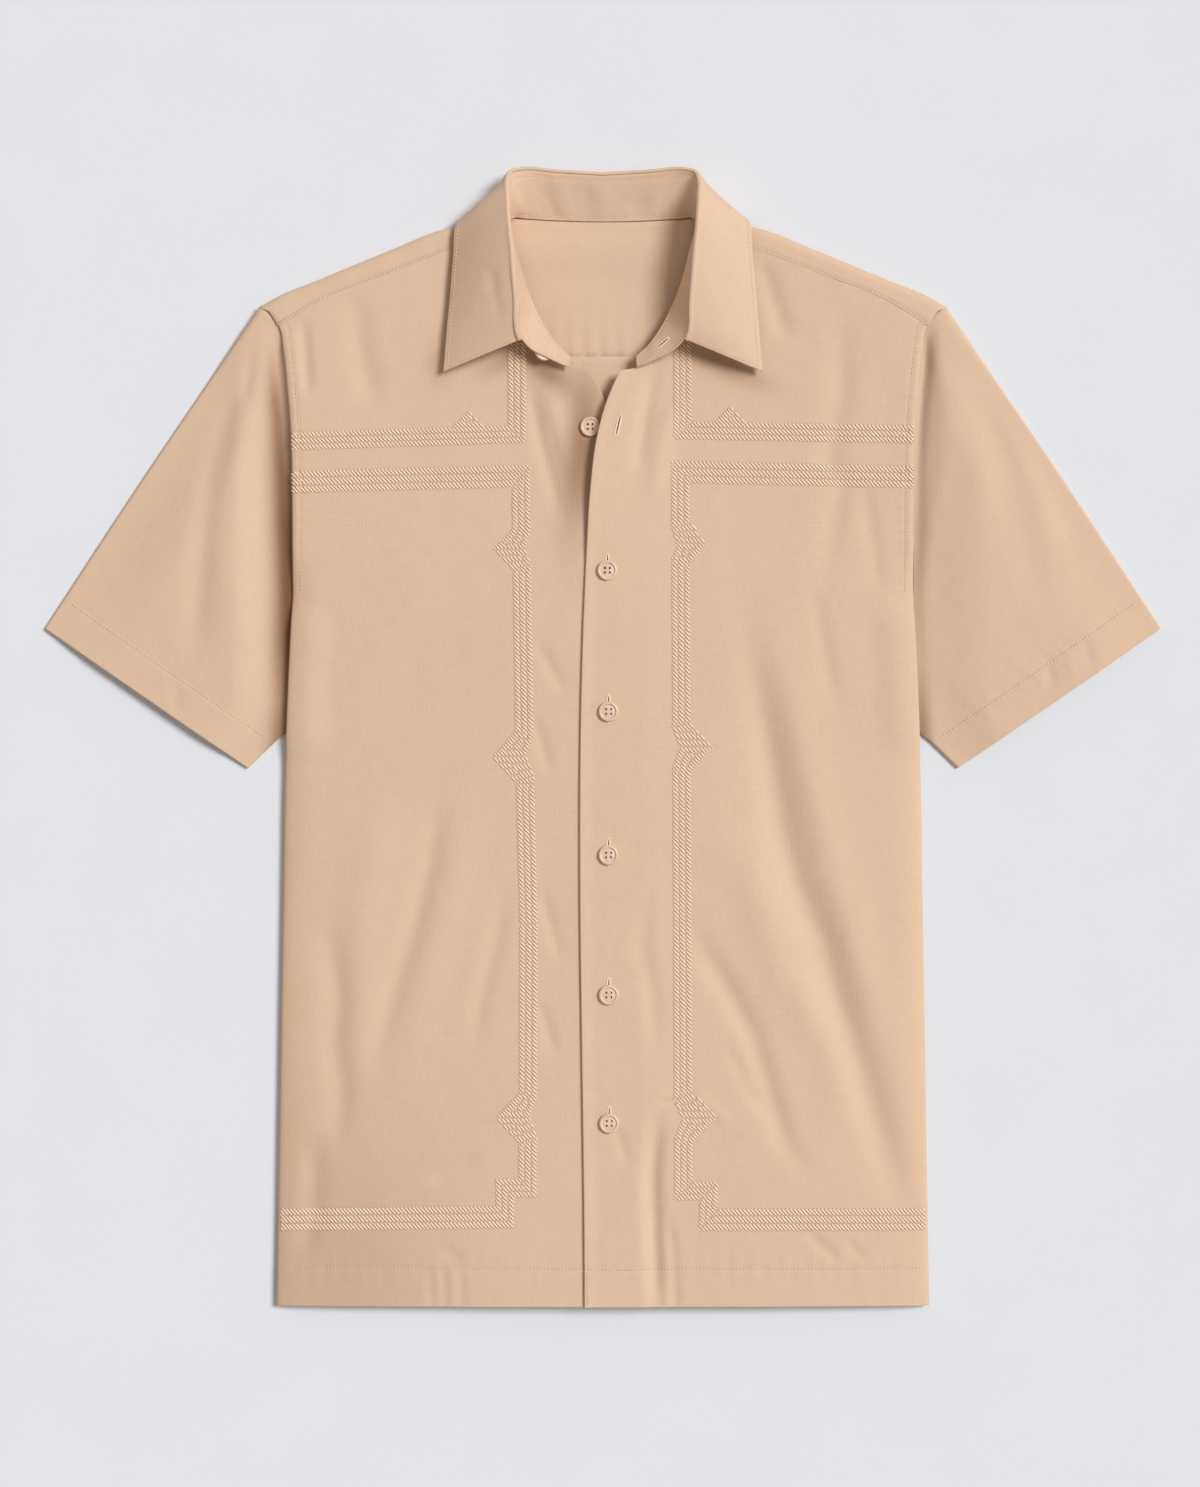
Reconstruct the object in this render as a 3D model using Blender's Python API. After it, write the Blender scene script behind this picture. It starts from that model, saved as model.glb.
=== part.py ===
"""A short-sleeved, button-front embroidered shirt, laid flat on a table with its front up.

Sizes are in millimetres until a mesh is made. x runs towards the wearer's left, drop runs
down the shirt from the top of the collar, and z is the height above the table.
"""

from collections import namedtuple

import bpy
import numpy as np
from mathutils import Vector
from mathutils.bvhtree import BVHTree

MM = 0.001

# Driving sizes of the shirt
LENGTH = 797.0
CLOTH = 1.0
HEM_CLOTH = 0.25
COLLAR_CLOTH = 1.3
SEAM_GAP = 0.3
LAYER_GAP = 0.6

# Heights of the laid cloth above the table
FRONT_HEIGHT = 9.6
SIDE_SEAM_HEIGHT = 4.8
SIDE_ROLL = 22.0
YOKE_SEAM_DROP = 132.3
NECK_HALF_WIDTH = 62.0
BACK_NECK_DROP = 38.4
HEM_DEPTH = 26.0

# The sleeve's underarm fold lies under the side of the body, which is lifted over it
TUCK_LIFT = 4.1
TUCK_TOP, TUCK_BOTTOM = (300.0, 324.0), (394.0, 420.0)
SLEEVE_FOLD = 1.7
SHOULDER_FOLD = 4.2

Outline = namedtuple("Outline", "half_width drop")
Edge = namedtuple("Edge", "x drop")
Line = namedtuple("Line", "half_width drop z")
Fold = namedtuple("Fold", "x0 drop0 x1 drop1 width height")
Button = namedtuple("Button", "name x drop")

# The side of the body from the hem up, then the armhole seam up to the shoulder seam
BODY_SIDE = [
    Outline(228.7, 797.0),
    Outline(226.3, 653.0),
    Outline(224.0, 513.0),
    Outline(221.9, 401.0),
    Outline(219.9, 350.0),
    Outline(217.4, 300.0),
]
ARMHOLE = [
    Outline(217.4, 300.0),
    Outline(217.5, 240.0),
    Outline(218.6, 186.0),
    Outline(221.0, 154.0),
    Outline(223.8, 128.0),
    Outline(226.8, 112.0),
]
# The yoke's front seam and the fold along the top of the shoulder, from the neck out
FRONT_SEAM = [
    Outline(66.3, 42.0),
    Outline(106.0, 57.6),
    Outline(151.0, 75.0),
    Outline(199.0, 94.4),
    Outline(226.8, 111.6),
]
SHOULDER = [
    Outline(69.0, 29.0),
    Outline(100.0, 41.0),
    Outline(108.0, 42.5),
    Outline(151.0, 58.9),
    Outline(199.0, 78.7),
    Outline(229.0, 91.2),
    Outline(239.5, 97.5),
]
# The front opening from the hem up to the corner at the neck
LEFT_EDGE = [
    Edge(-12.6, 797.0),
    Edge(-12.6, 300.0),
    Edge(-11.2, 270.0),
    Edge(-8.2, 222.0),
    Edge(-4.4, 192.0),
    Edge(2.8, 165.0),
    Edge(11.9, 143.4),
]
RIGHT_EDGE = [
    Edge(20.0, 797.0),
    Edge(20.0, 300.0),
    Edge(18.0, 260.0),
    Edge(11.0, 205.0),
    Edge(2.1, 167.0),
    Edge(-4.2, 153.0),
    Edge(-11.2, 143.6),
]
# The front neckline from that corner up to the shoulder seam
NECKLINE = [
    Outline(11.7, 143.5),
    Outline(25.5, 139.6),
    Outline(33.0, 128.0),
    Outline(45.0, 110.0),
    Outline(57.0, 84.0),
    Outline(65.0, 58.0),
    Outline(66.3, 42.3),
]
# The collar stand's lower edge at the neck seam, and its upper edge, where the leaf rolls
# over: both from the middle of the back round to the front end
STAND_FOOT = [
    Line(0.0, 37.4, 2.9),
    Line(30.0, 36.6, 2.9),
    Line(54.0, 35.2, 3.1),
    Line(62.0, 34.6, 4.2),
    Line(65.8, 37.5, 8.4),
    Line(64.9, 46.0, 12.2),
    Line(61.0, 60.0, 13.6),
    Line(53.5, 86.0, 13.9),
    Line(42.0, 111.0, 13.9),
    Line(31.5, 126.0, 13.9),
    Line(23.4, 133.4, 13.4),
]
STAND_TOP = [
    Line(0.0, 7.4, 12.2),
    Line(32.0, 5.6, 12.6),
    Line(56.0, 4.2, 14.6),
    Line(63.2, 6.2, 17.5),
    Line(65.6, 12.5, 22.5),
    Line(65.6, 24.0, 29.5),
    Line(64.6, 40.0, 34.5),
    Line(62.2, 64.0, 36.0),
    Line(59.6, 95.0, 34.0),
    Line(56.4, 122.5, 28.5),
    Line(50.6, 128.8, 24.5),
    Line(38.0, 135.0, 19.8),
    Line(23.8, 141.2, 15.2),
]
# How far along the stand's top and the leaf's edge the shoulder's corner and the leaf's end are
CORNER_AT, CORNER_ON_EDGE, LEAF_ENDS_AT = 0.315, 0.487, 0.822
# The leaf's roll over the stand's top: how far up and how far out of it
LEAF_ROLL = [(1.2, -0.2), (2.1, 1.0), (1.4, 2.6)]
# The leaf's free edge, from the middle of the back, round the shoulder, to the point
LEAF_EDGE = [
    Line(0.0, 51.5, 0.65),
    Line(46.0, 50.0, 0.65),
    Line(76.0, 45.5, 0.65),
    Line(92.0, 38.6, 1.9),
    Line(100.6, 37.4, 6.5),
    Line(102.6, 41.5, 12.2),
    Line(104.0, 62.0, 15.0),
    Line(107.0, 98.0, 15.6),
    Line(111.0, 144.0, 16.4),
]

# Where the sleeve's ends and folds lie, from the shoulder or armpit out to the cuff
SLEEVE_TOP = [Outline(240.0, 97.8), Outline(317.0, 210.0), Outline(391.5, 322.6)]
ARM_LINE = [SLEEVE_TOP[0], Outline(229.0, 109.0)] + ARMHOLE[-1::-1]
SLEEVE_UNDER = [
    Outline(217.8, 299.0),
    Outline(214.6, 334.0),
    Outline(214.6, 368.0),
    Outline(219.0, 391.5),
    Outline(230.4, 402.8),
    Outline(248.8, 420.8),
]
SLEEVE_CROWN = 8.0
CUFF_CROWN = 4.6

# The yoke folds forward along the shoulder: how far the fold reaches past its crest, the height
# that it comes forward at, its height under the collar, and its drops at the armhole
YOKE_REACH = 7.0
YOKE_TOP = 9.9
YOKE_BASE = 1.8
YOKE_BASE_ENDS = (92.0, 112.0)
YOKE_ARM_CREST, YOKE_ARM_FOLD = 97.6, 104.2
YOKE_NECK_TURN = [62.0, 66.0, 69.0, 69.4]
YOKE_NECK_SEAM = 66.4
CENTRE_COLUMNS = 7

# The finishes' colours in linear light, and their roughness
CLOTH_COLOUR, CLOTH_ROUGHNESS = (0.70, 0.49, 0.34), 0.85
BUTTON_COLOUR, BUTTON_ROUGHNESS = (0.74, 0.50, 0.36), 0.38

# The largest soft folds of the fronts: a height below zero is a trough
FRONT_FOLDS = [
    Fold(106.0, 300.0, 130.0, 415.0, 13.0, -1.1),
    Fold(130.0, 415.0, 187.0, 620.0, 13.0, -1.9),
    Fold(187.0, 620.0, 214.0, 712.0, 12.0, -1.2),
    Fold(74.0, 440.0, 160.0, 630.0, 17.0, 1.7),
    Fold(62.0, 520.0, 140.0, 660.0, 10.0, -1.0),
    Fold(44.0, 640.0, 43.0, 797.0, 7.0, -1.0),
    Fold(-101.0, 440.0, -146.0, 620.0, 13.0, -1.1),
    Fold(-190.0, 500.0, -184.0, 700.0, 14.0, -1.1),
    Fold(-150.0, 480.0, -166.0, 700.0, 18.0, 0.9),
    Fold(-38.0, 172.0, -21.0, 250.0, 7.0, 1.6),
    Fold(-48.0, 176.0, -28.0, 262.0, 7.0, -1.1),
    Fold(40.0, 148.0, 24.0, 230.0, 8.0, -1.0),
    Fold(176.0, 100.0, 168.0, 190.0, 16.0, -0.9),
    Fold(-176.0, 100.0, -166.0, 200.0, 16.0, -0.9),
]
SLEEVE_FOLDS = [
    Fold(272.0, 220.0, 290.0, 352.0, 13.0, -1.7),
    Fold(252.0, 240.0, 262.0, 384.0, 12.0, 1.3),
    Fold(306.0, 250.0, 332.0, 340.0, 20.0, 0.9),
]

BUTTON_RADIUS = 7.0
BUTTON_THICK = 2.6
BUTTON_HOLE_RADIUS = 0.75
BUTTON_HOLE_OFFSET = 1.55
# (radius as a share, height as a share) up the outside, over the rim and into the dish
BUTTON_PROFILE = [
    (0.84, 0.00),
    (1.00, 0.50),
    (0.92, 1.00),
    (0.80, 0.94),
    (0.70, 0.66),
]
BUTTON_SIDES = 16
HOLE_SIDES = 6
FRONT_BUTTONS = [
    Button("button_1", 3.0, 283.0),
    Button("button_2", 3.8, 381.5),
    Button("button_3", 3.8, 481.5),
    Button("button_4", 4.0, 579.0),
    Button("button_5", 4.3, 668.5),
]
CHEST_BUTTON = Button("button_chest", -9.0, 182.0)
COLLAR_BUTTON_AT = 0.905

# Where the rows of the back and of the fronts meet along the side seams, from the hem up
BODY_ROWS = np.array([797, 768, 716, 662, 608, 554, 500, 455, 420, 394, 359, 324, 300], float)
STAND_COLUMNS, LEAF_COLUMNS = 25, 25


def smooth(t):
    """0 below 0, 1 above 1, and a soft S between them."""
    t = np.clip(t, 0.0, 1.0)
    return t * t * (3.0 - 2.0 * t)


def ramp(value, start, end):
    """The soft S as value goes from start to end."""
    return smooth((np.asarray(value, float) - start) / (end - start))


def spline(rows, at):
    """Points on a smooth curve through the rows, at shares of its length from 0 to 1."""
    points = np.array(rows, float)
    along = np.concatenate([[0], np.cumsum(np.linalg.norm(np.diff(points, axis=0), axis=1))])
    slope = np.gradient(points, along, axis=0)
    place = np.clip(np.asarray(at, float), 0, 1) * along[-1]
    i = np.clip(np.searchsorted(along, place, side="right") - 1, 0, len(along) - 2)
    step = (along[i + 1] - along[i])[..., None]
    t = (place - along[i])[..., None] / step
    return (
        (2 * t**3 - 3 * t**2 + 1) * points[i]
        + (t**3 - 2 * t**2 + t) * step * slope[i]
        + (3 * t**2 - 2 * t**3) * points[i + 1]
        + (t**3 - t**2) * step * slope[i + 1]
    )


def half_width_at(rows, drop):
    """The half width of an outline at some drops, read off its smooth curve."""
    fine = spline(rows, np.linspace(0, 1, 200))
    order = np.argsort(fine[:, 1])
    return np.interp(drop, fine[order, 1], fine[order, 0])


def drop_at(rows, half_width):
    """The drop of an outline at some half widths, read off its smooth curve."""
    fine = spline(rows, np.linspace(0, 1, 200))
    order = np.argsort(fine[:, 0])
    return np.interp(half_width, fine[order, 0], fine[order, 1])


def body_half_width(drop):
    """Half the body's width at a drop, down the armhole and then the side seam."""
    upper, lower = half_width_at(ARM_LINE, drop), half_width_at(BODY_SIDE, drop)
    return np.where(np.asarray(drop) < ARMHOLE[0].drop, upper, lower)


def fold_height(folds, x, drop):
    """The soft folds' height: a bell across each fold's line, fading at both its ends."""
    total = np.zeros(np.broadcast(x, drop).shape)
    for fold in folds:
        run = np.array([fold.x1 - fold.x0, fold.drop1 - fold.drop0])
        length = np.linalg.norm(run)
        along = ((x - fold.x0) * run[0] + (drop - fold.drop0) * run[1]) / length
        across = ((x - fold.x0) * run[1] - (drop - fold.drop0) * run[0]) / length
        ends = ramp(along, -0.12 * length, 0.25 * length)
        ends = ends * (1 - ramp(along, 0.75 * length, 1.12 * length))
        total = total + fold.height * np.exp(-((across / fold.width) ** 2)) * ends
    return total


def front_height(x, drop):
    """The top of the lower front's cloth: a low plateau, raised at the neck, with folds."""
    neck = np.exp(-(((np.abs(x) - 52) / 26) ** 2 + ((drop - 84) / 44) ** 2))
    shoulder = 1 - ramp(drop, 60, 150)
    hem = ramp(drop, 640, LENGTH)
    height = FRONT_HEIGHT + 1.4 * neck + 0.4 * shoulder - 1.2 * hem
    return height + fold_height(FRONT_FOLDS, x, drop)


def opening_lift(x, drop, edge):
    """How far the left front's free edge lifts beside the unfastened opening."""
    near = 1 - ramp(x, edge, edge + 46)
    down = ramp(drop, 128, 176) * (1 - ramp(drop, 200, 282))
    return (0.8 + 3.4 * down) * near * (1 - ramp(drop, 262, 283))


def opening_dip(x, drop):
    """How far the right front sinks where it passes under the left one."""
    near = ramp(x, -40, -8)
    return 2.2 * near * ramp(drop, 150, 180) * (1 - ramp(drop, 215, 275))


def tuck(drop, inside):
    """The body's lift over the sleeve, at a distance inside the body's side."""
    stretch = ramp(drop, *TUCK_TOP) * (1 - ramp(drop, *TUCK_BOTTOM))
    return TUCK_LIFT * stretch * (1 - ramp(inside, 9, 34))


def side_height(drop):
    """The height of the side seam."""
    return SIDE_SEAM_HEIGHT + 0.8 * tuck(drop, 0.0)


def normals(grid, around=False, upright=False, lean=(0.0, 0.0)):
    """Unit normals of a grid of points.

    upright cuts the open edges square to the table. lean turns the first and the last
    column's edge from square to level, as far as its share for each row says.
    """
    down = np.gradient(grid, axis=0)
    if around:
        across = np.roll(grid, -1, axis=1) - np.roll(grid, 1, axis=1)
    else:
        across = np.gradient(grid, axis=1)
    if upright:
        down[[0, -1], :, 2] = 0
    if upright and not around:
        for column, share in zip((0, -1), lean):
            share = np.broadcast_to(share, len(grid))
            across[:, column, 2] *= share
            across[:, column, :2] *= (1.0 - share)[:, None]
    found = np.cross(down, across)
    return found / np.linalg.norm(found, axis=2, keepdims=True)


def to_metres(points):
    """x, drop and z in millimetres as x, y and z in metres about the shirt's middle."""
    x, drop, z = np.moveaxis(np.asarray(points, float), -1, 0)
    return np.stack([x, LENGTH / 2 - drop, z], axis=-1) * MM


def finish_object(name, mesh):
    """The object of a cloth piece, with a finish of its own."""
    mesh.shade_smooth()
    mesh.set_sharp_from_angle(angle=0.9)
    mesh.materials.append(material(name + "_cotton", CLOTH_COLOUR, CLOTH_ROUGHNESS))
    made = bpy.data.objects.new(name, mesh)
    bpy.context.scene.collection.objects.link(made)
    return made


def closed_mesh(name, points, faces):
    """A mesh in metres, turned so that its faces point outwards."""
    points = to_metres(points)
    fans = [(face[0], face[k], face[k + 1]) for face in faces for k in range(1, len(face) - 1)]
    corners = points[np.array(fans)]
    if np.einsum("ij,ij->i", corners[:, 0], np.cross(corners[:, 1], corners[:, 2])).sum() < 0:
        faces = [face[::-1] for face in faces]
    mesh = bpy.data.meshes.new(name)
    mesh.from_pydata(points.tolist(), [], faces)
    mesh.validate()
    return mesh


def wall(name, face, other, around=False, skip=None):
    """A closed wall between two matching grids of points, with a rim along each open edge.

    skip marks the grid points that aren't part of the piece. around joins the last column
    to the first.
    """
    rows, columns = face.shape[:2]
    present = np.ones((rows, columns), bool) if skip is None else ~skip
    number = np.full((rows, columns), -1)
    number[present] = np.arange(present.sum())
    layer = int(present.sum())
    points = np.concatenate([face[present], other[present]])
    faces, edges = [], {}
    for i in range(rows - 1):
        for j in range(columns if around else columns - 1):
            k = (j + 1) % columns
            cell = [int(n) for n in (number[i, j], number[i, k], number[i + 1, k], number[i + 1, j])]
            if min(cell) < 0:
                continue
            faces.append(cell)
            faces.append([n + layer for n in reversed(cell)])
            for a, b in zip(cell, cell[1:] + cell[:1]):
                edges[(a, b)] = True
    for a, b in edges:
        if (b, a) not in edges:
            faces.append([b, a, a + layer, b + layer])
    return finish_object(name, closed_mesh(name, points, faces))


def material(name, colour, roughness):
    """A plain finish: its colour in linear light, and its roughness."""
    made = bpy.data.materials.new(name)
    made.use_nodes = True
    shader = made.node_tree.nodes["Principled BSDF"]
    shader.inputs["Base Color"].default_value = (*colour, 1.0)
    shader.inputs["Roughness"].default_value = roughness
    shader.inputs["Metallic"].default_value = 0.0
    return made


def front(name, side, edge_rows):
    """One front panel, from the side and armhole across to the front edge and neckline.

    Its rows run level up to the armpit, and then turn to follow the shoulder seam.
    """
    chest, top = 6, 7
    level_drops = BODY_ROWS
    outer_low = np.stack([half_width_at(BODY_SIDE, level_drops), level_drops], axis=1)
    outer_high = spline(ARMHOLE, np.linspace(0, 1, chest + top + 1)[1:])
    outer_high[:, 0] = half_width_at(ARM_LINE, outer_high[:, 1])
    outer = np.concatenate([outer_low, outer_high]) * [side, 1]

    edge = spline(edge_rows, np.linspace(0, 1, 400))
    chest_drops = np.linspace(ARMHOLE[0].drop, edge_rows[-1].drop, chest + 1)[1:]
    edge_drops = np.concatenate([level_drops, chest_drops])
    edge_x = np.interp(-edge_drops, -edge[:, 1], edge[:, 0])
    neckline = spline(NECKLINE, np.linspace(0, 1, top + 1)[1:]) * [side, 1]
    inner = np.concatenate([np.stack([edge_x, edge_drops], axis=1), neckline])

    width = np.linalg.norm(inner - outer, axis=1)[:, None]
    roll = np.array([0.0, 0.6, 2.4, 6.0, 12.0, 21.0])
    rest = np.linspace(0, 1, 13)[1:]
    share = np.concatenate([roll / width, 21 / width + (1 - 21 / width) * rest], axis=1)
    flat = outer[:, None] + share[..., None] * (inner - outer)[:, None]
    x, drop = flat[..., 0], flat[..., 1]
    seam_drop = drop_at(FRONT_SEAM, np.abs(flat[-1, :, 0]))
    rise = np.concatenate([np.zeros(len(flat) - top), np.linspace(0, 1, top + 1)[1:]])
    drop = drop + rise[:, None] * (seam_drop - drop[-1])

    height = front_height(x, drop)
    if side > 0:
        edge_at = np.interp(-drop, -edge[:, 1], edge[:, 0])
        over = (CLOTH + LAYER_GAP) * (1 - ramp(x, 26, 60))
        height = height + over + opening_lift(x, drop, edge_at)
    else:
        height = height - opening_dip(x, drop)
    inside = np.broadcast_to(share * width, x.shape)
    height = height + 0.55 * tuck(drop, inside)
    round_off = np.sqrt(1 - (1 - np.clip(inside / SIDE_ROLL, 0, 1)) ** 2)
    seam = side_height(drop)
    below_armpit = ramp(drop, 262, 300)
    rolled = seam + (height - seam) * round_off
    height = height + below_armpit * (rolled - height)
    height = height + HEM_CLOTH * ramp(drop, LENGTH - HEM_DEPTH - 1, LENGTH - HEM_DEPTH + 1)

    top_face = np.stack([x, drop, height], axis=2)
    found = normals(top_face, upright=True, lean=(below_armpit[:, 0], 0.0))
    return wall(name, top_face, top_face + side * CLOTH * found)


def back():
    """The back below the yoke: flat on the table, turning up to the side seams."""
    drops = np.concatenate([BODY_ROWS, np.linspace(270, YOKE_SEAM_DROP, 5)])
    roll = np.array([0.0, 0.6, 2.4, 6.0, 12.0, 21.0, 34.0])
    half = body_half_width(drops)
    below_armpit = ramp(drops, 282, 300)[:, None]
    edge = np.broadcast_to(roll, (len(drops), len(roll)))
    inside = np.concatenate([edge, half[:, None] * [0.55, 1.0]], axis=1)
    seam = side_height(drops)[:, None] - SEAM_GAP
    turn = 1 - np.sqrt(1 - (1 - np.clip(inside / 20, 0, 1)) ** 2)
    lifted = tuck(drops[:, None], inside)
    height = below_armpit * np.maximum(turn * (seam - lifted) + lifted, 0)
    level = np.broadcast_to(drops[:, None], inside.shape)
    right = np.stack([inside - half[:, None], level, height], axis=2)
    left = right[:, -2::-1] * [-1, 1, 1]
    under = np.concatenate([right, left], axis=1)
    lean = below_armpit[:, 0]
    found = normals(under, upright=True, lean=(lean, lean))
    return wall("back", under, under + CLOTH * found)


def yoke():
    """The yoke: flat under the back of the neck, folded forward along each shoulder.

    Each section runs from the back seam to the front seam. Between the neck's sides it
    ends at the neckline, so the columns there stop early.
    """
    flat_rows, turn_rows, front_rows = 5, 6, 2
    side_columns = 10
    share = np.linspace(0, 1, side_columns)
    turn = np.linspace(-np.pi / 2, np.pi / 2, turn_rows + 1)[1:]
    rows = flat_rows + turn_rows + front_rows

    neck_x = np.concatenate([
        np.full(flat_rows, NECK_HALF_WIDTH),
        np.interp(turn, [-1.57, -0.7, 0.4, 1.57], YOKE_NECK_TURN),
        np.linspace(YOKE_NECK_TURN[-1], YOKE_NECK_SEAM, front_rows + 1)[1:],
    ])
    arm_drop = np.concatenate([
        np.linspace(YOKE_SEAM_DROP, YOKE_ARM_FOLD, flat_rows),
        YOKE_ARM_CREST + (YOKE_ARM_FOLD - YOKE_ARM_CREST) * (1 - np.cos(turn)),
        np.linspace(YOKE_ARM_FOLD, FRONT_SEAM[-1].drop, front_rows + 1)[1:],
    ])
    arm_x = half_width_at(ARM_LINE, arm_drop) - 0.2
    x = neck_x[:, None] + (arm_x - neck_x)[:, None] * share
    crest = drop_at(SHOULDER, x)
    base = YOKE_BASE * (1 - ramp(x, *YOKE_BASE_ENDS))
    drop, z = np.empty_like(x), np.empty_like(x)
    start = crest + YOKE_REACH
    for i in range(flat_rows):
        along = i / (flat_rows - 1)
        drop[i] = YOKE_SEAM_DROP - SEAM_GAP + (start[i] - YOKE_SEAM_DROP + SEAM_GAP) * along
        z[i] = base[i] * (1 - ramp(drop[i], 60, 80))
    for k, angle in enumerate(turn):
        i = flat_rows + k
        drop[i] = crest[i] + YOKE_REACH * (1 - np.cos(angle))
        z[i] = base[i] + (YOKE_TOP - base[i]) * (1 + np.sin(angle)) / 2
    seam_drop = drop_at(FRONT_SEAM, x[-1]) - 2 * SEAM_GAP
    seam_z = front_height(x[-1], seam_drop)
    for k in range(front_rows):
        i = flat_rows + turn_rows + k
        along = (k + 1) / front_rows
        begin = drop[flat_rows + turn_rows - 1]
        drop[i] = begin + (seam_drop - begin) * along
        z[i] = YOKE_TOP + (seam_z - YOKE_TOP) * along
    left = np.stack([x, drop, z], axis=2)

    across = np.linspace(-1, 1, CENTRE_COLUMNS + 2)[1:-1]
    centre = np.full((rows, CENTRE_COLUMNS, 3), np.nan)
    neckline = BACK_NECK_DROP + (left[flat_rows - 1, 0, 1] - BACK_NECK_DROP) * across**2
    for i in range(flat_rows):
        along = i / (flat_rows - 1)
        edge = left[i, 0]
        centre[i, :, 0] = across * edge[0]
        centre[i, :, 1] = YOKE_SEAM_DROP - SEAM_GAP + (neckline - YOKE_SEAM_DROP + SEAM_GAP) * along
        centre[i, :, 2] = YOKE_BASE * (1 - ramp(centre[i, :, 1], 60, 80))
    outer = np.concatenate([left[:, ::-1] * [-1, 1, 1], centre, left], axis=1)
    skip = np.isnan(outer[..., 0])
    filled = np.where(skip[..., None], 0.0, outer)
    found = yoke_normals(outer, flat_rows)
    return wall("yoke", filled, filled + CLOTH * found, skip=skip)


def yoke_normals(outer, flat_rows):
    """The yoke's inward normals: up under the neck, round the fold, down under the front."""
    found = np.zeros_like(outer)
    side = (outer.shape[1] - CENTRE_COLUMNS) // 2
    for columns in (slice(0, side), slice(side + CENTRE_COLUMNS, None)):
        found[:, columns] = normals(outer[:, columns], upright=True)
    middle = slice(side - 1, side + CENTRE_COLUMNS + 1)
    found[:flat_rows, middle] = normals(outer[:flat_rows, middle], upright=True)
    return found * np.sign(found[1, :, 2].mean())


def sleeve(name, side):
    """One sleeve: a tube laid flat, from the armhole seam out to the cuff.

    Seen from above, each point is blended between the armhole, the cuff and the two folds.
    """
    out = np.array([0, 0.02, 0.05, 0.085, 0.13, 0.19, 0.28, 0.39, 0.52, 0.66, 0.82, 1.0])
    turn = np.radians([35, 90])
    upper = np.array([0.05, 0.13, 0.23, 0.34, 0.45, 0.57, 0.69, 0.8, 0.89, 0.96])
    lower = np.array([0.85, 0.5, 0.15])

    top, under = spline(SLEEVE_TOP, out), spline(SLEEVE_UNDER, out)
    fold_top = SLEEVE_FOLD + (SHOULDER_FOLD - SLEEVE_FOLD) * (1 - ramp(out, 0.0, 0.3))
    faces = []
    for depth in (0.0, CLOTH):
        rings = []
        for u, a, b, r_top in zip(out, top, under, fold_top):
            width = np.linalg.norm(b - a)
            d, z, is_upper = flat_ring(width, r_top, SLEEVE_FOLD, turn, upper, lower, depth)
            t = (d / width)[:, None]
            arm = spline(ARM_LINE, t[:, 0]) + [2 * SEAM_GAP, 0]
            cuff = top[-1] + (under[-1] - top[-1]) * t
            near = (1 - t) * top[0] + t * under[0]
            far = (1 - t) * top[-1] + t * under[-1]
            flat = (1 - u) * arm + u * cuff + (1 - t) * a + t * b - (1 - u) * near - u * far
            x, drop = flat[:, 0], flat[:, 1]
            z = z + np.where(is_upper, sleeve_rise(u, d, width, x, drop, z + depth), 0)
            rings.append(np.stack([side * x, drop, z], axis=1))
        faces.append(np.array(rings))
    return wall(name, *faces, around=True)


def flat_ring(width, r_top, r_under, turn, upper, lower, depth):
    """A flattened ring of cloth: places across its width, heights, and which lie on top.

    depth is how far the ring is inside the cloth's outer face.
    """
    top_in, under_in = r_top - depth, r_under - depth
    d_top = depth + top_in * (1 - np.cos(turn))
    d_under = width - depth - under_in * (1 - np.cos(turn))
    span = width - r_top - r_under
    d = np.concatenate([
        [depth], d_top, r_top + span * upper, d_under[::-1],
        [width - depth], d_under, r_top + span * lower, d_top[::-1],
    ])
    level = 2 * r_top + 2 * (r_under - r_top) * smooth(upper) - depth
    z = np.concatenate([
        [r_top], r_top + top_in * np.sin(turn), level, (r_under + under_in * np.sin(turn))[::-1],
        [r_under], r_under - under_in * np.sin(turn), np.full(len(lower), depth),
        (r_top - top_in * np.sin(turn))[::-1],
    ])
    is_upper = np.zeros(len(d), bool)
    is_upper[1 : 1 + 2 * len(turn) + len(upper)] = True
    return d, z, is_upper


def sleeve_rise(u, d, width, x, drop, level):
    """How far the sleeve's upper layer stands above its folds: its crown, seam and folds."""
    from_top, from_under = d, width - d
    away = x - body_half_width(drop)
    crown = SLEEVE_CROWN + (CUFF_CROWN - SLEEVE_CROWN) * ramp(u, 0.45, 1.0)
    swell = crown * ramp(from_top, -2, 62) * ramp(from_under, 12, 74) * ramp(away, 8, 62)
    seam = (FRONT_HEIGHT + 0.3 - level) * np.exp(-((np.maximum(away, 0) / 8.0) ** 2))
    seam = seam * (1 - ramp(drop, 266, 297)) * ramp(from_top, 1, 14)
    folds = fold_height(SLEEVE_FOLDS, x, drop) * ramp(from_under, 6, 40) * ramp(away, 10, 30)
    return swell + seam + folds


def collar_lines(at):
    """The stand's foot and top and the leaf's edge, at shares of the way to the front end."""
    on_edge = np.interp(at, [0.0, CORNER_AT, LEAF_ENDS_AT], [0.0, CORNER_ON_EDGE, 1.0])
    return spline(STAND_FOOT, at), spline(STAND_TOP, at), spline(LEAF_EDGE, on_edge)


def both_sides(half):
    """A grid from the middle of the back to the left front end, with its mirror image."""
    return np.concatenate([half[:, :0:-1] * [-1, 1, 1], half], axis=1)


def collar_stand():
    """The stand: a band round the neck, leaning out from its foot at the neck seam."""
    at = np.linspace(0, 1, STAND_COLUMNS)
    foot, top, _ = collar_lines(at)
    up = np.array([0.0, 0.33, 0.66, 1.0])[:, None, None]
    middle = both_sides(foot + (top - foot) * up)
    found = normals(middle) * COLLAR_CLOTH / 2
    return wall("collar_stand", middle + found, middle - found)


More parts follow.
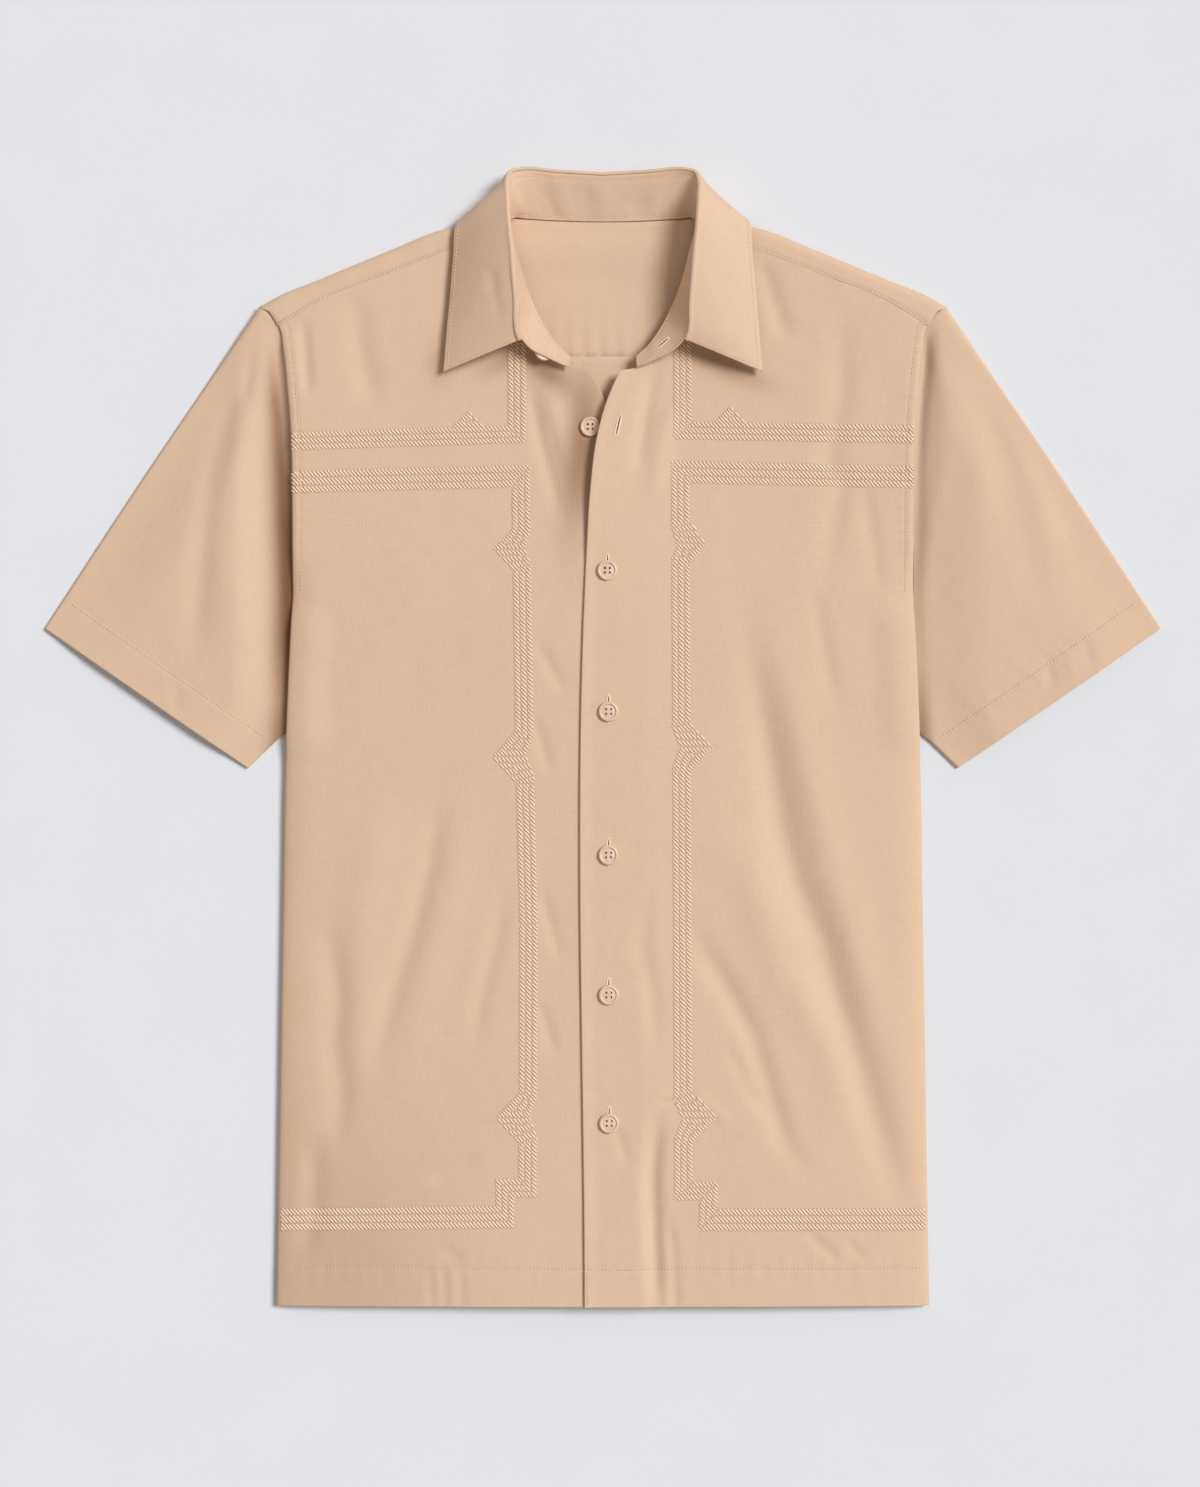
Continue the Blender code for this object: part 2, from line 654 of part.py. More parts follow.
def collar_leaf():
    """The leaf: rolls over the top of the stand and falls outside it to its free edge."""
    at = np.linspace(0, LEAF_ENDS_AT, LEAF_COLUMNS)
    foot, top, edge = collar_lines(at)
    rise = (top - foot) / np.linalg.norm(top - foot, axis=1, keepdims=True)
    along = np.gradient(top, axis=0)
    out = np.cross(rise, along)
    out = out / np.linalg.norm(out, axis=1, keepdims=True)
    out = out * np.sign(out[len(out) // 2, 0])
    sections = [top + a * rise + b * out for a, b in LEAF_ROLL]
    start = sections[-1]
    behind = (1 - ramp(edge[:, 2], 4, 13))[:, None]
    for t in (0.12, 0.26, 0.44, 0.68, 1.0):
        made = start + (edge - start) * t
        fallen = edge[:, 2:] + (start[:, 2:] - edge[:, 2:]) * (1 - t) ** 4
        belly = (1 - behind) * 1.6 * np.sin(np.pi * t)
        made[:, 2:] += behind * (fallen - made[:, 2:]) + belly
        sections.append(made)
    middle = both_sides(np.array(sections))
    found = normals(middle) * COLLAR_CLOTH / 2
    faces = [middle + found, middle - found]
    for face in faces:
        face[..., 2] = np.maximum(face[..., 2], 0.0)
    return wall("collar_leaf", *faces)


def button_mesh():
    """A four-hole button: a turned disc with a raised rim, and its holes cut through."""
    angle = np.linspace(0, 2 * np.pi, BUTTON_SIDES, endpoint=False)
    ring = np.stack([np.cos(angle), np.sin(angle)], axis=1)
    points, faces = [], []
    for radius, height in BUTTON_PROFILE:
        level = np.full((BUTTON_SIDES, 1), height * BUTTON_THICK)
        points.append(np.concatenate([ring * radius * BUTTON_RADIUS, level], axis=1))
    for k in range(len(BUTTON_PROFILE) - 1):
        for i in range(BUTTON_SIDES):
            j = (i + 1) % BUTTON_SIDES
            low, high = k * BUTTON_SIDES, (k + 1) * BUTTON_SIDES
            faces.append([low + i, low + j, high + j, high + i])
    last = (len(BUTTON_PROFILE) - 1) * BUTTON_SIDES
    faces.append(list(range(BUTTON_SIDES))[::-1])
    faces.append([last + i for i in range(BUTTON_SIDES)])
    disc = plain_object("button_disc", np.concatenate(points), faces)

    cutters, sides = [], []
    hole = np.linspace(0, 2 * np.pi, HOLE_SIDES, endpoint=False)
    for sx in (-1, 1):
        for sy in (-1, 1):
            first = len(cutters)
            for level in (-1.0, BUTTON_THICK + 1.0):
                for a in hole:
                    cutters.append((
                        sx * BUTTON_HOLE_OFFSET + BUTTON_HOLE_RADIUS * np.cos(a),
                        sy * BUTTON_HOLE_OFFSET + BUTTON_HOLE_RADIUS * np.sin(a),
                        level,
                    ))
            for i in range(HOLE_SIDES):
                j = (i + 1) % HOLE_SIDES
                sides.append([first + i, first + j, first + HOLE_SIDES + j, first + HOLE_SIDES + i])
            sides.append([first + i for i in range(HOLE_SIDES)][::-1])
            sides.append([first + HOLE_SIDES + i for i in range(HOLE_SIDES)])
    holes = plain_object("button_holes", np.array(cutters), sides)
    holes.hide_render = True
    holes.display_type = "WIRE"

    cut = disc.modifiers.new("thread_holes", "BOOLEAN")
    cut.operation = "DIFFERENCE"
    cut.solver = "EXACT"
    cut.object = holes
    graph = bpy.context.evaluated_depsgraph_get()
    mesh = bpy.data.meshes.new_from_object(disc.evaluated_get(graph))
    for helper in (disc, holes):
        bpy.data.objects.remove(helper)
    mesh.name = "button"
    mesh.materials.clear()
    mesh.shade_smooth()
    mesh.set_sharp_from_angle(angle=0.7)
    return mesh


def plain_object(name, points, faces):
    mesh = bpy.data.meshes.new(name)
    mesh.from_pydata((points * MM).tolist(), [], faces)
    made = bpy.data.objects.new(name, mesh)
    bpy.context.scene.collection.objects.link(made)
    return made


def place_button(name, mesh, point, facing):
    """A button whose back sits a seam's gap off the point, facing along a direction."""
    own = mesh.copy()
    own.materials.append(material(name + "_horn", BUTTON_COLOUR, BUTTON_ROUGHNESS))
    made = bpy.data.objects.new(name, own)
    bpy.context.scene.collection.objects.link(made)
    facing = Vector(facing).normalized()
    made.location = Vector(to_metres(point)) + facing * SEAM_GAP * MM
    made.rotation_mode = "QUATERNION"
    made.rotation_quaternion = Vector((0, 0, 1)).rotation_difference(facing)
    return made


def height_under(name, x, drop):
    """The highest point of a panel under a button's rim and middle, in millimetres."""
    mesh = bpy.data.objects[name].data
    tree = BVHTree.FromPolygons([v.co for v in mesh.vertices], [p.vertices for p in mesh.polygons])
    angle = np.linspace(0, 2 * np.pi, 13)
    places = np.stack([x + BUTTON_RADIUS * np.cos(angle), drop + BUTTON_RADIUS * np.sin(angle)], axis=1)
    places[-1] = x, drop
    found = []
    for place_x, place_drop in places:
        above = Vector(to_metres((place_x, place_drop, 60.0)))
        found.append(tree.ray_cast(above, Vector((0, 0, -1)))[0].z / MM)
    return max(found)


def buttons():
    """Five fastened buttons, the open one at the chest, and the one on the stand."""
    mesh = button_mesh()
    for button in FRONT_BUTTONS:
        z = height_under("front_left", button.x, button.drop)
        place_button(button.name, mesh, (button.x, button.drop, z), (0, 0, 1))
    z = height_under("front_right", CHEST_BUTTON.x, CHEST_BUTTON.drop)
    place_button(CHEST_BUTTON.name, mesh, (CHEST_BUTTON.x, CHEST_BUTTON.drop, z), (0, 0, 1))

    foot, top, _ = collar_lines(COLLAR_BUTTON_AT + np.array([-0.01, 0.0, 0.01]))
    middle = (foot[1] + (top[1] - foot[1]) * 0.55) * [-1, 1, 1]
    along = (top[2] - top[0]) * [-1, 1, 1]
    rise = (top[1] - foot[1]) * [-1, 1, 1]
    face = np.cross(rise * [1, -1, 1], along * [1, -1, 1])
    face = face / np.linalg.norm(face) * -np.sign(face[2])
    point = middle + face * [1, -1, 1] * COLLAR_CLOTH / 2
    place_button("button_collar", mesh, point + face * [1, -1, 1] * 0.2, face)


def main():
    for item in list(bpy.data.objects):
        bpy.data.objects.remove(item)
    back()
    yoke()
    front("front_right", -1, RIGHT_EDGE)
    front("front_left", 1, LEFT_EDGE)
    sleeve("sleeve_right", -1)
    sleeve("sleeve_left", 1)
    collar_stand()
    collar_leaf()
    buttons()


main()
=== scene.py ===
"""A short-sleeved, button-front embroidered shirt laid flat on a pale floor, with its light and camera.

Sizes are in millimetres until a mesh is made. x runs towards the wearer's left, drop runs down the
shirt from the top of the collar, and z is the height above the table.
"""

from collections import namedtuple

import bpy
import numpy as np
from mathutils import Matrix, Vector


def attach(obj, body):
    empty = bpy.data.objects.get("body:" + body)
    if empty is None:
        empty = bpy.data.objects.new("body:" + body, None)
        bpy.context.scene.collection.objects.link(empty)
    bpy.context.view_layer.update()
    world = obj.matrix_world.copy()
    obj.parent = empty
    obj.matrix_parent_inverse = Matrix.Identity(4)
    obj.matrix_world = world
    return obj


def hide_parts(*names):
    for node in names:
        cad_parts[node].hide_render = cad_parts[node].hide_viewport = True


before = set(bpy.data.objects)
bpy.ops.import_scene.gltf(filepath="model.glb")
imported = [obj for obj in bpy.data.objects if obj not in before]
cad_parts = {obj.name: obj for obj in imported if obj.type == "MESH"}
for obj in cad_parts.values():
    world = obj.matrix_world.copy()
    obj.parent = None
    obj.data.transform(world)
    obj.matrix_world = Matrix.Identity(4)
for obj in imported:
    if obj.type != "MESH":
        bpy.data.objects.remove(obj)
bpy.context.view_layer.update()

bl_info = {
    "name": "Embroidered shirt",
    "version": (1, 0, 0),
    "blender": (4, 5, 0),
    "location": "3D View > Sidebar > Shirt",
    "description": "Makes the cloth, stitching, embroidery and buttons of a laid shirt",
    "category": "Object",
}

MM = 0.001

# The laid shirt, as the part's own solids have it
LENGTH = 797.0
HEM_CLOTH = 0.25
SEAM_GAP = 0.3
LAYER_GAP = 0.6
FRONT_HEIGHT = 9.6
DOME = 6.0
SIDE_SEAM_HEIGHT = 4.8
SIDE_ROLL = 22.0
YOKE_SEAM_DROP = 132.3
NECK_HALF_WIDTH = 62.0
BACK_NECK_DROP = 38.4
HEM_DEPTH = 26.0
CUFF_HEM_DEPTH = 24.5
TUCK_LIFT = 4.1
TUCK_TOP, TUCK_BOTTOM = (300.0, 324.0), (394.0, 420.0)
SLEEVE_FOLD = 1.7
SHOULDER_FOLD = 4.2

Outline = namedtuple("Outline", "half_width drop")
Edge = namedtuple("Edge", "x drop")
Line = namedtuple("Line", "half_width drop z")
Crease = namedtuple("Crease", "width height path")
Button = namedtuple("Button", "name x drop")

# The side of the body from the hem up, then the armhole seam up to the shoulder seam
BODY_SIDE = [
    Outline(228.7, 797.0),
    Outline(226.3, 653.0),
    Outline(224.0, 513.0),
    Outline(221.9, 401.0),
    Outline(219.9, 350.0),
    Outline(217.4, 300.0),
]
ARMHOLE = [
    Outline(217.4, 300.0),
    Outline(217.5, 240.0),
    Outline(218.6, 186.0),
    Outline(221.0, 154.0),
    Outline(223.8, 128.0),
    Outline(226.8, 112.0),
]
# The yoke's front seam and the fold along the top of the shoulder, from the neck out
FRONT_SEAM = [
    Outline(66.3, 42.0),
    Outline(106.0, 57.6),
    Outline(151.0, 75.0),
    Outline(199.0, 94.4),
    Outline(226.8, 111.6),
]
SHOULDER = [
    Outline(69.0, 29.0),
    Outline(100.0, 41.0),
    Outline(108.0, 42.5),
    Outline(151.0, 58.9),
    Outline(199.0, 78.7),
    Outline(229.0, 91.2),
    Outline(239.5, 97.5),
]
# The front opening from the hem up to the corner at the neck
LEFT_EDGE = [
    Edge(-12.6, 797.0),
    Edge(-12.6, 300.0),
    Edge(-11.2, 270.0),
    Edge(-8.2, 222.0),
    Edge(-4.4, 192.0),
    Edge(2.8, 165.0),
    Edge(11.9, 143.4),
]
RIGHT_EDGE = [
    Edge(20.0, 797.0),
    Edge(20.0, 300.0),
    Edge(18.0, 260.0),
    Edge(11.0, 205.0),
    Edge(2.1, 167.0),
    Edge(-4.2, 153.0),
    Edge(-11.2, 143.6),
]
# The front neckline from that corner up to the shoulder seam
NECKLINE = [
    Outline(11.7, 143.5),
    Outline(25.5, 139.6),
    Outline(33.0, 128.0),
    Outline(45.0, 110.0),
    Outline(57.0, 84.0),
    Outline(65.0, 58.0),
    Outline(66.3, 42.3),
]
# The collar stand's foot at the neck seam, and its top, where the leaf rolls over
STAND_FOOT = [
    Line(0.0, 37.4, 2.9),
    Line(30.0, 36.6, 2.9),
    Line(54.0, 35.2, 3.1),
    Line(62.0, 34.6, 4.2),
    Line(65.8, 37.5, 8.4),
    Line(64.9, 46.0, 12.2),
    Line(61.0, 60.0, 13.6),
    Line(53.5, 86.0, 13.9),
    Line(42.0, 111.0, 13.9),
    Line(31.5, 126.0, 13.9),
    Line(23.4, 133.4, 13.4),
]
STAND_TOP = [
    Line(0.0, 7.4, 12.2),
    Line(32.0, 5.6, 12.6),
    Line(56.0, 4.2, 14.6),
    Line(63.2, 6.2, 17.5),
    Line(65.6, 12.5, 22.5),
    Line(65.6, 24.0, 29.5),
    Line(64.6, 40.0, 34.5),
    Line(62.2, 64.0, 36.0),
    Line(59.6, 95.0, 34.0),
    Line(56.4, 122.5, 28.5),
    Line(50.6, 128.8, 24.5),
    Line(38.0, 135.0, 19.8),
    Line(23.8, 141.2, 15.2),
]
# The leaf's corner beside the shoulder, along the stand and along the leaf's own edge, and the
# leaf's end along the stand, as shares of the way from the middle of the back
CORNER_AT, CORNER_ON_EDGE, LEAF_ENDS_AT = 0.315, 0.487, 0.822
# The leaf's free edge, from the middle of the back to its point
LEAF_EDGE = [
    Line(0.0, 51.5, 0.65),
    Line(46.0, 50.0, 0.65),
    Line(76.0, 45.5, 0.65),
    Line(92.0, 38.6, 1.9),
    Line(100.6, 37.4, 6.5),
    Line(102.6, 41.5, 12.2),
    Line(104.0, 62.0, 15.0),
    Line(107.0, 98.0, 15.6),
    Line(111.0, 144.0, 16.4),
]
# The leaf's roll over the stand's top: how far each of its lines lies up and out from it
LEAF_ROLL = [(1.2, -0.2), (2.1, 1.0), (1.4, 2.6)]
# Where the sleeve's ends and folds lie, from the shoulder or armpit out to the cuff
SLEEVE_TOP = [Outline(240.0, 97.8), Outline(317.0, 210.0), Outline(391.5, 322.6)]
ARM_LINE = [SLEEVE_TOP[0], Outline(229.0, 109.0)] + ARMHOLE[-1::-1]
SLEEVE_UNDER = [
    Outline(217.8, 299.0),
    Outline(214.6, 334.0),
    Outline(214.6, 368.0),
    Outline(219.0, 391.5),
    Outline(230.4, 402.8),
    Outline(248.8, 420.8),
]
# How high the crown of each sleeve stands, right (-1) and left (1)
SLEEVE_CROWN = {-1: 9.0, 1: 5.4}
# The valley beside the armhole seam: how far out its floor lies, its width, and where the
# sleeve starts to rise from it and is full
ARM_VALLEY = {-1: (5.5, 6.5, 9.0, 40.0), 1: (3.0, 5.0, 3.0, 52.0)}
VALLEY_FLOOR = 2.7
# The warm shade in that valley, drop by drop: how far out it lies, its width and its strength
VALLEY_SHADE = {
    -1: [
        (120, 9.0, 4.0, 0.0),
        (163, 9.5, 6.0, 0.70),
        (205, 8.0, 8.0, 0.90),
        (250, 6.0, 9.0, 1.0),
        (330, 2.5, 10.5, 1.0),
        (373, 2.0, 9.0, 0.70),
        (408, 4.0, 9.0, 0.85),
    ],
    1: [
        (110, 6.0, 4.0, 0.0),
        (135, 9.0, 5.0, 0.30),
        (163, 14.0, 7.0, 0.30),
        (205, 14.0, 8.0, 0.24),
        (250, 8.0, 7.0, 0.30),
        (290, 3.0, 6.0, 0.36),
        (345, 1.5, 5.0, 0.20),
        (395, 2.0, 6.0, 0.70),
    ],
}
# Painted shade on the fronts, where the collar casts its shadows and the cloth falls away into shade: the
# middle, the half sizes, the turn in degrees and the strength
ShadePatch = namedtuple("ShadePatch", "x drop half_x half_drop turn strength")
FRONT_PAINTED_SHADES = {
    -1: [
        ShadePatch(-116.0, 138.0, 9.0, 16.0, 0.0, 0.22),
        ShadePatch(-66.0, 135.0, 18.0, 7.0, -25.0, 0.40),
        ShadePatch(-40.0, 143.0, 19.0, 9.0, 38.0, 0.65),
        ShadePatch(-16.0, 200.0, 12.0, 55.0, 6.0, 0.70),
        ShadePatch(-190.0, 785.0, 75.0, 120.0, 0.0, 0.20),
    ],
    1: [
        ShadePatch(84.0, 140.0, 31.0, 7.5, 22.0, 0.50),
        ShadePatch(215.0, 260.0, 10.0, 90.0, 0.0, 0.05),
    ],
}
# The warm painted shade in the depths of folds and under the collar, standing in for the light that the
# cloth throws on itself, as shares of the cloth's own red, green and blue
PAINTED_FOLD_SHADE = (0.30, 0.185, 0.115)
# How far the sleeve's seam edge lies tucked under the body, and how high its cuff's crown stands
SEAM_TUCK = 2.6
CUFF_CROWN = 4.6

# Soft creases of the fronts: a height below zero is a trough, above zero a ridge
FRONT_CREASES = [
    Crease(12.0, -3.9, [(86, 286), (100, 318), (108, 366), (117, 416), (125, 463), (135, 503), (154, 543),
                        (162, 580), (177, 628), (193, 676), (208, 722), (220, 770)]),
    Crease(24.0, -2.0, [(92, 330), (112, 430), (140, 540), (175, 650), (195, 730)]),
    Crease(15.0, 2.3, [(116, 300), (142, 416), (166, 516), (192, 600), (212, 668)]),
    Crease(16.0, 2.69, [(74, 455), (104, 495), (128, 564), (162, 617), (180, 690)]),
    Crease(8.0, -2.69, [(56, 515), (69, 547), (86, 575), (104, 607), (114, 641), (126, 681), (150, 715)]),
    Crease(5.0, -1.12, [(83, 607), (101, 644), (117, 670)]),
    Crease(6.0, -1.34, [(31, 498), (27, 548), (34, 580), (37, 628)]),
    Crease(5.6, -4.6, [(39, 655), (34, 708), (36, 758), (38, 810)]),
    Crease(3.0, -1.57, [(45, 728), (49, 760), (51, 810)]),
    Crease(1.6, -1.12, [(37, 654), (54, 654)]),
    Crease(9.0, -1.79, [(167, 90), (166, 164), (158, 202), (166, 228), (158, 268), (156, 300)]),
    Crease(6.0, -1.12, [(180, 215), (190, 268), (192, 305)]),
    Crease(6.0, -1.01, [(145, 285), (157, 353), (165, 385)]),
    Crease(7.0, -1.79, [(108, 58), (131, 128)]),
    Crease(3.2, -1.01, [(140, 742), (166, 768)]),
    Crease(3.0, -0.9, [(170, 750), (182, 766)]),
    Crease(3.5, -0.9, [(8, 668), (18, 700)]),
    Crease(3.0, 1.01, [(62, 646), (90, 670)]),
    Crease(5.0, -2.24, [(40, 132), (31, 164), (23, 218)]),
    Crease(6.0, 1.57, [(52, 150), (42, 190), (33, 240)]),
    Crease(14.0, 1.2, [(-92, 430), (-106, 500), (-124, 570), (-140, 640)]),
    Crease(8.0, -1.9, [(-112, 430), (-122, 489), (-132, 532), (-146, 575), (-156, 609), (-160, 650)]),
    Crease(18.0, 1.79, [(-150, 420), (-168, 520), (-172, 650)]),
    Crease(9.0, -2.3, [(-192, 520), (-185, 585), (-188, 617), (-183, 644), (-188, 700)]),
    Crease(9.0, -2.6, [(-200, 674), (-204, 734), (-212, 772)]),
    Crease(6.0, -1.34, [(-67, 500), (-75, 542), (-86, 585), (-92, 622)]),
    Crease(6.0, -1.34, [(-124, 712), (-84, 690)]),
    Crease(4.0, -1.12, [(-45, 500), (-29, 558)]),
    Crease(4.0, -1.12, [(-45, 582), (-33, 624)]),
    Crease(4.0, -1.12, [(-48, 330), (-26, 370)]),
    Crease(4.0, -1.12, [(-50, 380), (-36, 428)]),
    Crease(9.0, -1.79, [(-174, 84), (-169, 134), (-158, 175)]),
    Crease(4.0, -1.57, [(-210, 104), (-206, 165)]),
    Crease(4.5, -1.6, [(-53, 145), (-44, 192), (-27, 252)]),
    Crease(6.0, 1.7, [(-40, 150), (-32, 180), (-18, 226)]),
    Crease(2.4, -0.78, [(-121, 768), (-119, 803)]),
    Crease(2.4, -0.78, [(-111, 768), (-110, 803)]),
    Crease(2.4, -0.78, [(-100, 768), (-98, 803)]),
    Crease(4.0, -0.9, [(-112, 757), (-100, 765)]),
]
# Creases of the two sleeves, with x counted out from the middle
SLEEVE_CREASES = {
    1: [
        Crease(12.0, -1.3, [(262, 140), (278, 208), (286, 242), (301, 283), (315, 322)]),
        Crease(10.0, 1.2, [(284, 150), (304, 220), (322, 290)]),
        Crease(3.6, -0.7, [(310, 342), (316, 368)]),
        Crease(3.6, -0.7, [(336, 330), (343, 354)]),
        Crease(4.0, 0.5, [(324, 336), (330, 358)]),
    ],
    -1: [
        Crease(9.0, -1.9, [(252, 140), (266, 186), (274, 218), (279, 254), (283, 295), (288, 358)]),
        Crease(12.0, 1.2, [(252, 180), (262, 250), (264, 350)]),
        Crease(4.0, -0.9, [(245, 114), (251, 170)]),
        Crease(4.0, -0.5, [(300, 358), (298, 384)]),
    ],
}

# Stitching, in millimetres
ARM_STITCH_IN = 5.8
EDGE_STITCH_IN = 3.0
SEAM_STITCH_IN = 2.0
STAND_STITCHES_AT = (0.07, 0.9)
SEAM_TALL = 0.2
# The row of the yoke's front part that carries its stitches, counted from its seam
YOKE_STITCH_ROW = -3
# How strongly the cloth is shaded along stitches, along the yoke's seam and below the embroidery,
# and where the last shade fades out, from the border's middle
SEAM_SHADE = 0.35
YOKE_SEAM_SHADE = 1.7
BORDER_SHADE = 0.06
BORDER_SHADE_FADES = (5.8, 7.4)

# The embroidered border of each front: the middle of its three tracks, run by run. A peak stands
# to one side of its run, and wide is the run's width as a share of the border's usual width
Peak = namedtuple("Peak", "at half height")
Run = namedtuple("Run", "start end wide peaks", defaults=(1.0, ()))
BORDER_RUNS = {
    -1: [
        [
            Run((-60.3, 112.0), (-60.3, 187.4)),
            Run((-60.3, 187.4), (-218.6, 192.5), 0.97),
        ],
        [
            Run((-218.6, 221.0), (-57.6, 217.0), 1.2),
            Run((-57.6, 217.0), (-54.4, 432.0), 1.0, (Peak(51.3, 12.0, -8.2), Peak(196.0, 15.0, -10.2))),
            Run((-54.4, 432.0), (-51.9, 530.0)),
            Run((-51.9, 530.0), (-52.7, 714.5), 1.0, (Peak(135.5, 15.0, -10.0),)),
            Run((-52.7, 714.5), (-68.6, 714.5)),
            Run((-68.6, 714.5), (-68.6, 734.6)),
            Run((-68.6, 734.6), (-226.4, 737.4), 1.22),
        ],
    ],
    1: [
        [
            Run((55.7, 112.0), (55.7, 184.8)),
            Run((55.7, 184.8), (218.0, 187.6), 0.97),
        ],
        [
            Run((218.0, 217.6), (54.0, 214.0), 1.2),
            Run((54.0, 214.0), (56.2, 716.6), 1.0,
                (Peak(50.3, 12.0, 7.4), Peak(192.4, 15.0, 9.6), Peak(451.7, 15.0, 10.2))),
            Run((56.2, 716.6), (73.6, 716.6)),
            Run((73.6, 716.6), (73.6, 736.6)),
            Run((73.6, 736.6), (226.4, 737.2), 1.2),
        ],
    ],
}
# The filled triangle on each upper band: its middle, the band's edge, half its width, its height
BORDER_TOOTH = {-1: (-94.5, 183.0, 12.0, 12.5), 1: (88.2, 180.0, 12.0, 12.5)}
# How much higher a peak stands on the border's outer edge than on its middle, as a share
PEAK_GROWTH = 0.4
# Where the tracks start and end across a border, in tracks from its middle
TRACK_EDGES = (-1.5, -0.43, -0.57, 0.57, 0.43, 1.5)
# The border stitches' common direction in x and drop, their height, and how uneven their places
# and directions are
BORDER_SLANT = (0.682, 0.731)
BORDER_TALL = 0.20
PLACE_JITTER, SLANT_JITTER = 0.07, 0.04

FRONT_BUTTONS = [
    Button("button_1", 3.0, 283.0),
    Button("button_2", 3.8, 381.5),
    Button("button_3", 3.8, 481.5),
    Button("button_4", 4.0, 579.0),
    Button("button_5", 4.3, 668.5),
]
CHEST_BUTTON = Button("button_chest", -9.0, 182.0)
# The collar's button: along the stand, up it, and out from the middle of its cloth
COLLAR_BUTTON_AT = 0.905
COLLAR_BUTTON_UP = 0.70
COLLAR_BUTTON_OUT = 1.15
# (radius as a share, height as a share) up the outside, over the rim and into the dish
BUTTON_PROFILE = [
    (0.80, 0.00), (0.92, 0.05), (0.985, 0.22), (1.00, 0.45), (0.99, 0.68), (0.95, 0.88), (0.89, 0.98),
    (0.82, 1.00), (0.765, 0.95), (0.72, 0.80), (0.69, 0.62), (0.665, 0.56), (0.63, 0.57), (0.58, 0.62),
]
BUTTON_HOLE_RADIUS = 0.86
BUTTON_HOLE_OFFSET = 1.6
# The strands that sew a button on: their offset from the middle of the holes, radius, height over
# the dish, depth at their ends, and how far those ends stop short of the middle of the holes
STRAND_OFFSET, STRAND_RADIUS, STRAND_RISE = 0.13, 0.12, 0.16
STRAND_DIVE, STRAND_END_IN = 1.5, 0.20

# The stand's buttonhole: along the stand and up it, half its length, and out from the cloth's middle
STAND_BUTTONHOLE = (0.885, 0.52)
STAND_BUTTONHOLE_HALF = 5.2
STAND_BUTTONHOLE_OUT = 1.5
# The empty buttonhole of the left front: x, drop, and its lean from upright
OPEN_BUTTONHOLE = (10.6, 181.4, -0.23)
OPEN_BUTTONHOLE_HALF = 7.4
# The fastened ones: half their length, and how far their middles lie above their buttons
BUTTONHOLE_HALF = 9.7
BUTTONHOLE_ABOVE = 1.8


# Curves and heights


def smooth(t):
    """0 below 0, 1 above 1, and between them the soft S of 3t^2 - 2t^3."""
    t = np.clip(t, 0.0, 1.0)
    return t * t * (3.0 - 2.0 * t)


def ramp(value, start, end):
    """The soft S as value goes from start to end."""
    return smooth((np.asarray(value, float) - start) / (end - start))


def bell(value, width):
    """A bell: 1 at the middle, falling off as exp(-(value/width)^2)."""
    return np.exp(-((np.asarray(value, float) / width) ** 2))


def unit(vectors):
    """The vectors along the last axis, brought to length 1."""
    return vectors / np.linalg.norm(vectors, axis=-1, keepdims=True)


def hermite(points, along, place):
    """A curve through rows of points: between two rows, the cubic that takes both their slopes."""
    slope = np.gradient(points, along, axis=0)
    place = np.asarray(place, float)
    i = np.clip(np.searchsorted(along, place, side="right") - 1, 0, len(along) - 2)
    shape = place.shape + (1,) * (points.ndim - 1)
    step = (along[i + 1] - along[i]).reshape(shape)
    t = (place - along[i]).reshape(shape) / step
    return (
        (2 * t**3 - 3 * t**2 + 1) * points[i]
        + (t**3 - 2 * t**2 + t) * step * slope[i]
        + (3 * t**2 - 2 * t**3) * points[i + 1]
        + (t**3 - t**2) * step * slope[i + 1]
    )


def lengths_along(points):
    """The distance along a line of points to each of them."""
    return np.concatenate([[0], np.cumsum(np.linalg.norm(np.diff(points, axis=0), axis=1))])


def spline(rows, at):
    """Points on the smooth curve through a table's rows, at shares of its length from 0 to 1."""
    points = np.array(rows, float)
    along = lengths_along(points)
    return hermite(points, along, np.clip(np.asarray(at, float), 0, 1) * along[-1])


def half_width_at(rows, drop):
    """The half width of an outline at some drops, read off its smooth curve."""
    fine = spline(rows, np.linspace(0, 1, 200))
    order = np.argsort(fine[:, 1])
    return np.interp(drop, fine[order, 1], fine[order, 0])


def drop_at(rows, half_width):
    """The drop of an outline at some half widths, read off its smooth curve."""
    fine = spline(rows, np.linspace(0, 1, 200))
    order = np.argsort(fine[:, 0])
    return np.interp(half_width, fine[order, 0], fine[order, 1])


def body_half_width(drop):
    """Half the body's width at a drop, down the armhole and then the side seam."""
    upper, lower = half_width_at(ARM_LINE, drop), half_width_at(BODY_SIDE, drop)
    return np.where(np.asarray(drop) < ARMHOLE[0].drop, upper, lower)


def nearest_on(path, x, drop):
    """How far points are from a line, and how far along it their nearest place is.

    On each straight run the place is the foot of the perpendicular, kept within the run.
    """
    x, drop = np.broadcast_arrays(np.asarray(x, float), np.asarray(drop, float))
    path = np.array(path, float)
    starts = lengths_along(path)
    nearest, place = np.full(x.shape, np.inf), np.zeros(x.shape)
    for (x0, drop0), (run_x, run_drop), start, end in zip(
        path, np.diff(path, axis=0), starts, starts[1:]
    ):
        t = ((x - x0) * run_x + (drop - drop0) * run_drop) / (end - start) ** 2
        t = np.clip(t, 0, 1)
        away = np.hypot(x - x0 - t * run_x, drop - drop0 - t * run_drop)
        place = np.where(away < nearest, start + t * (end - start), place)
        nearest = np.minimum(away, nearest)
    return nearest, place / starts[-1]


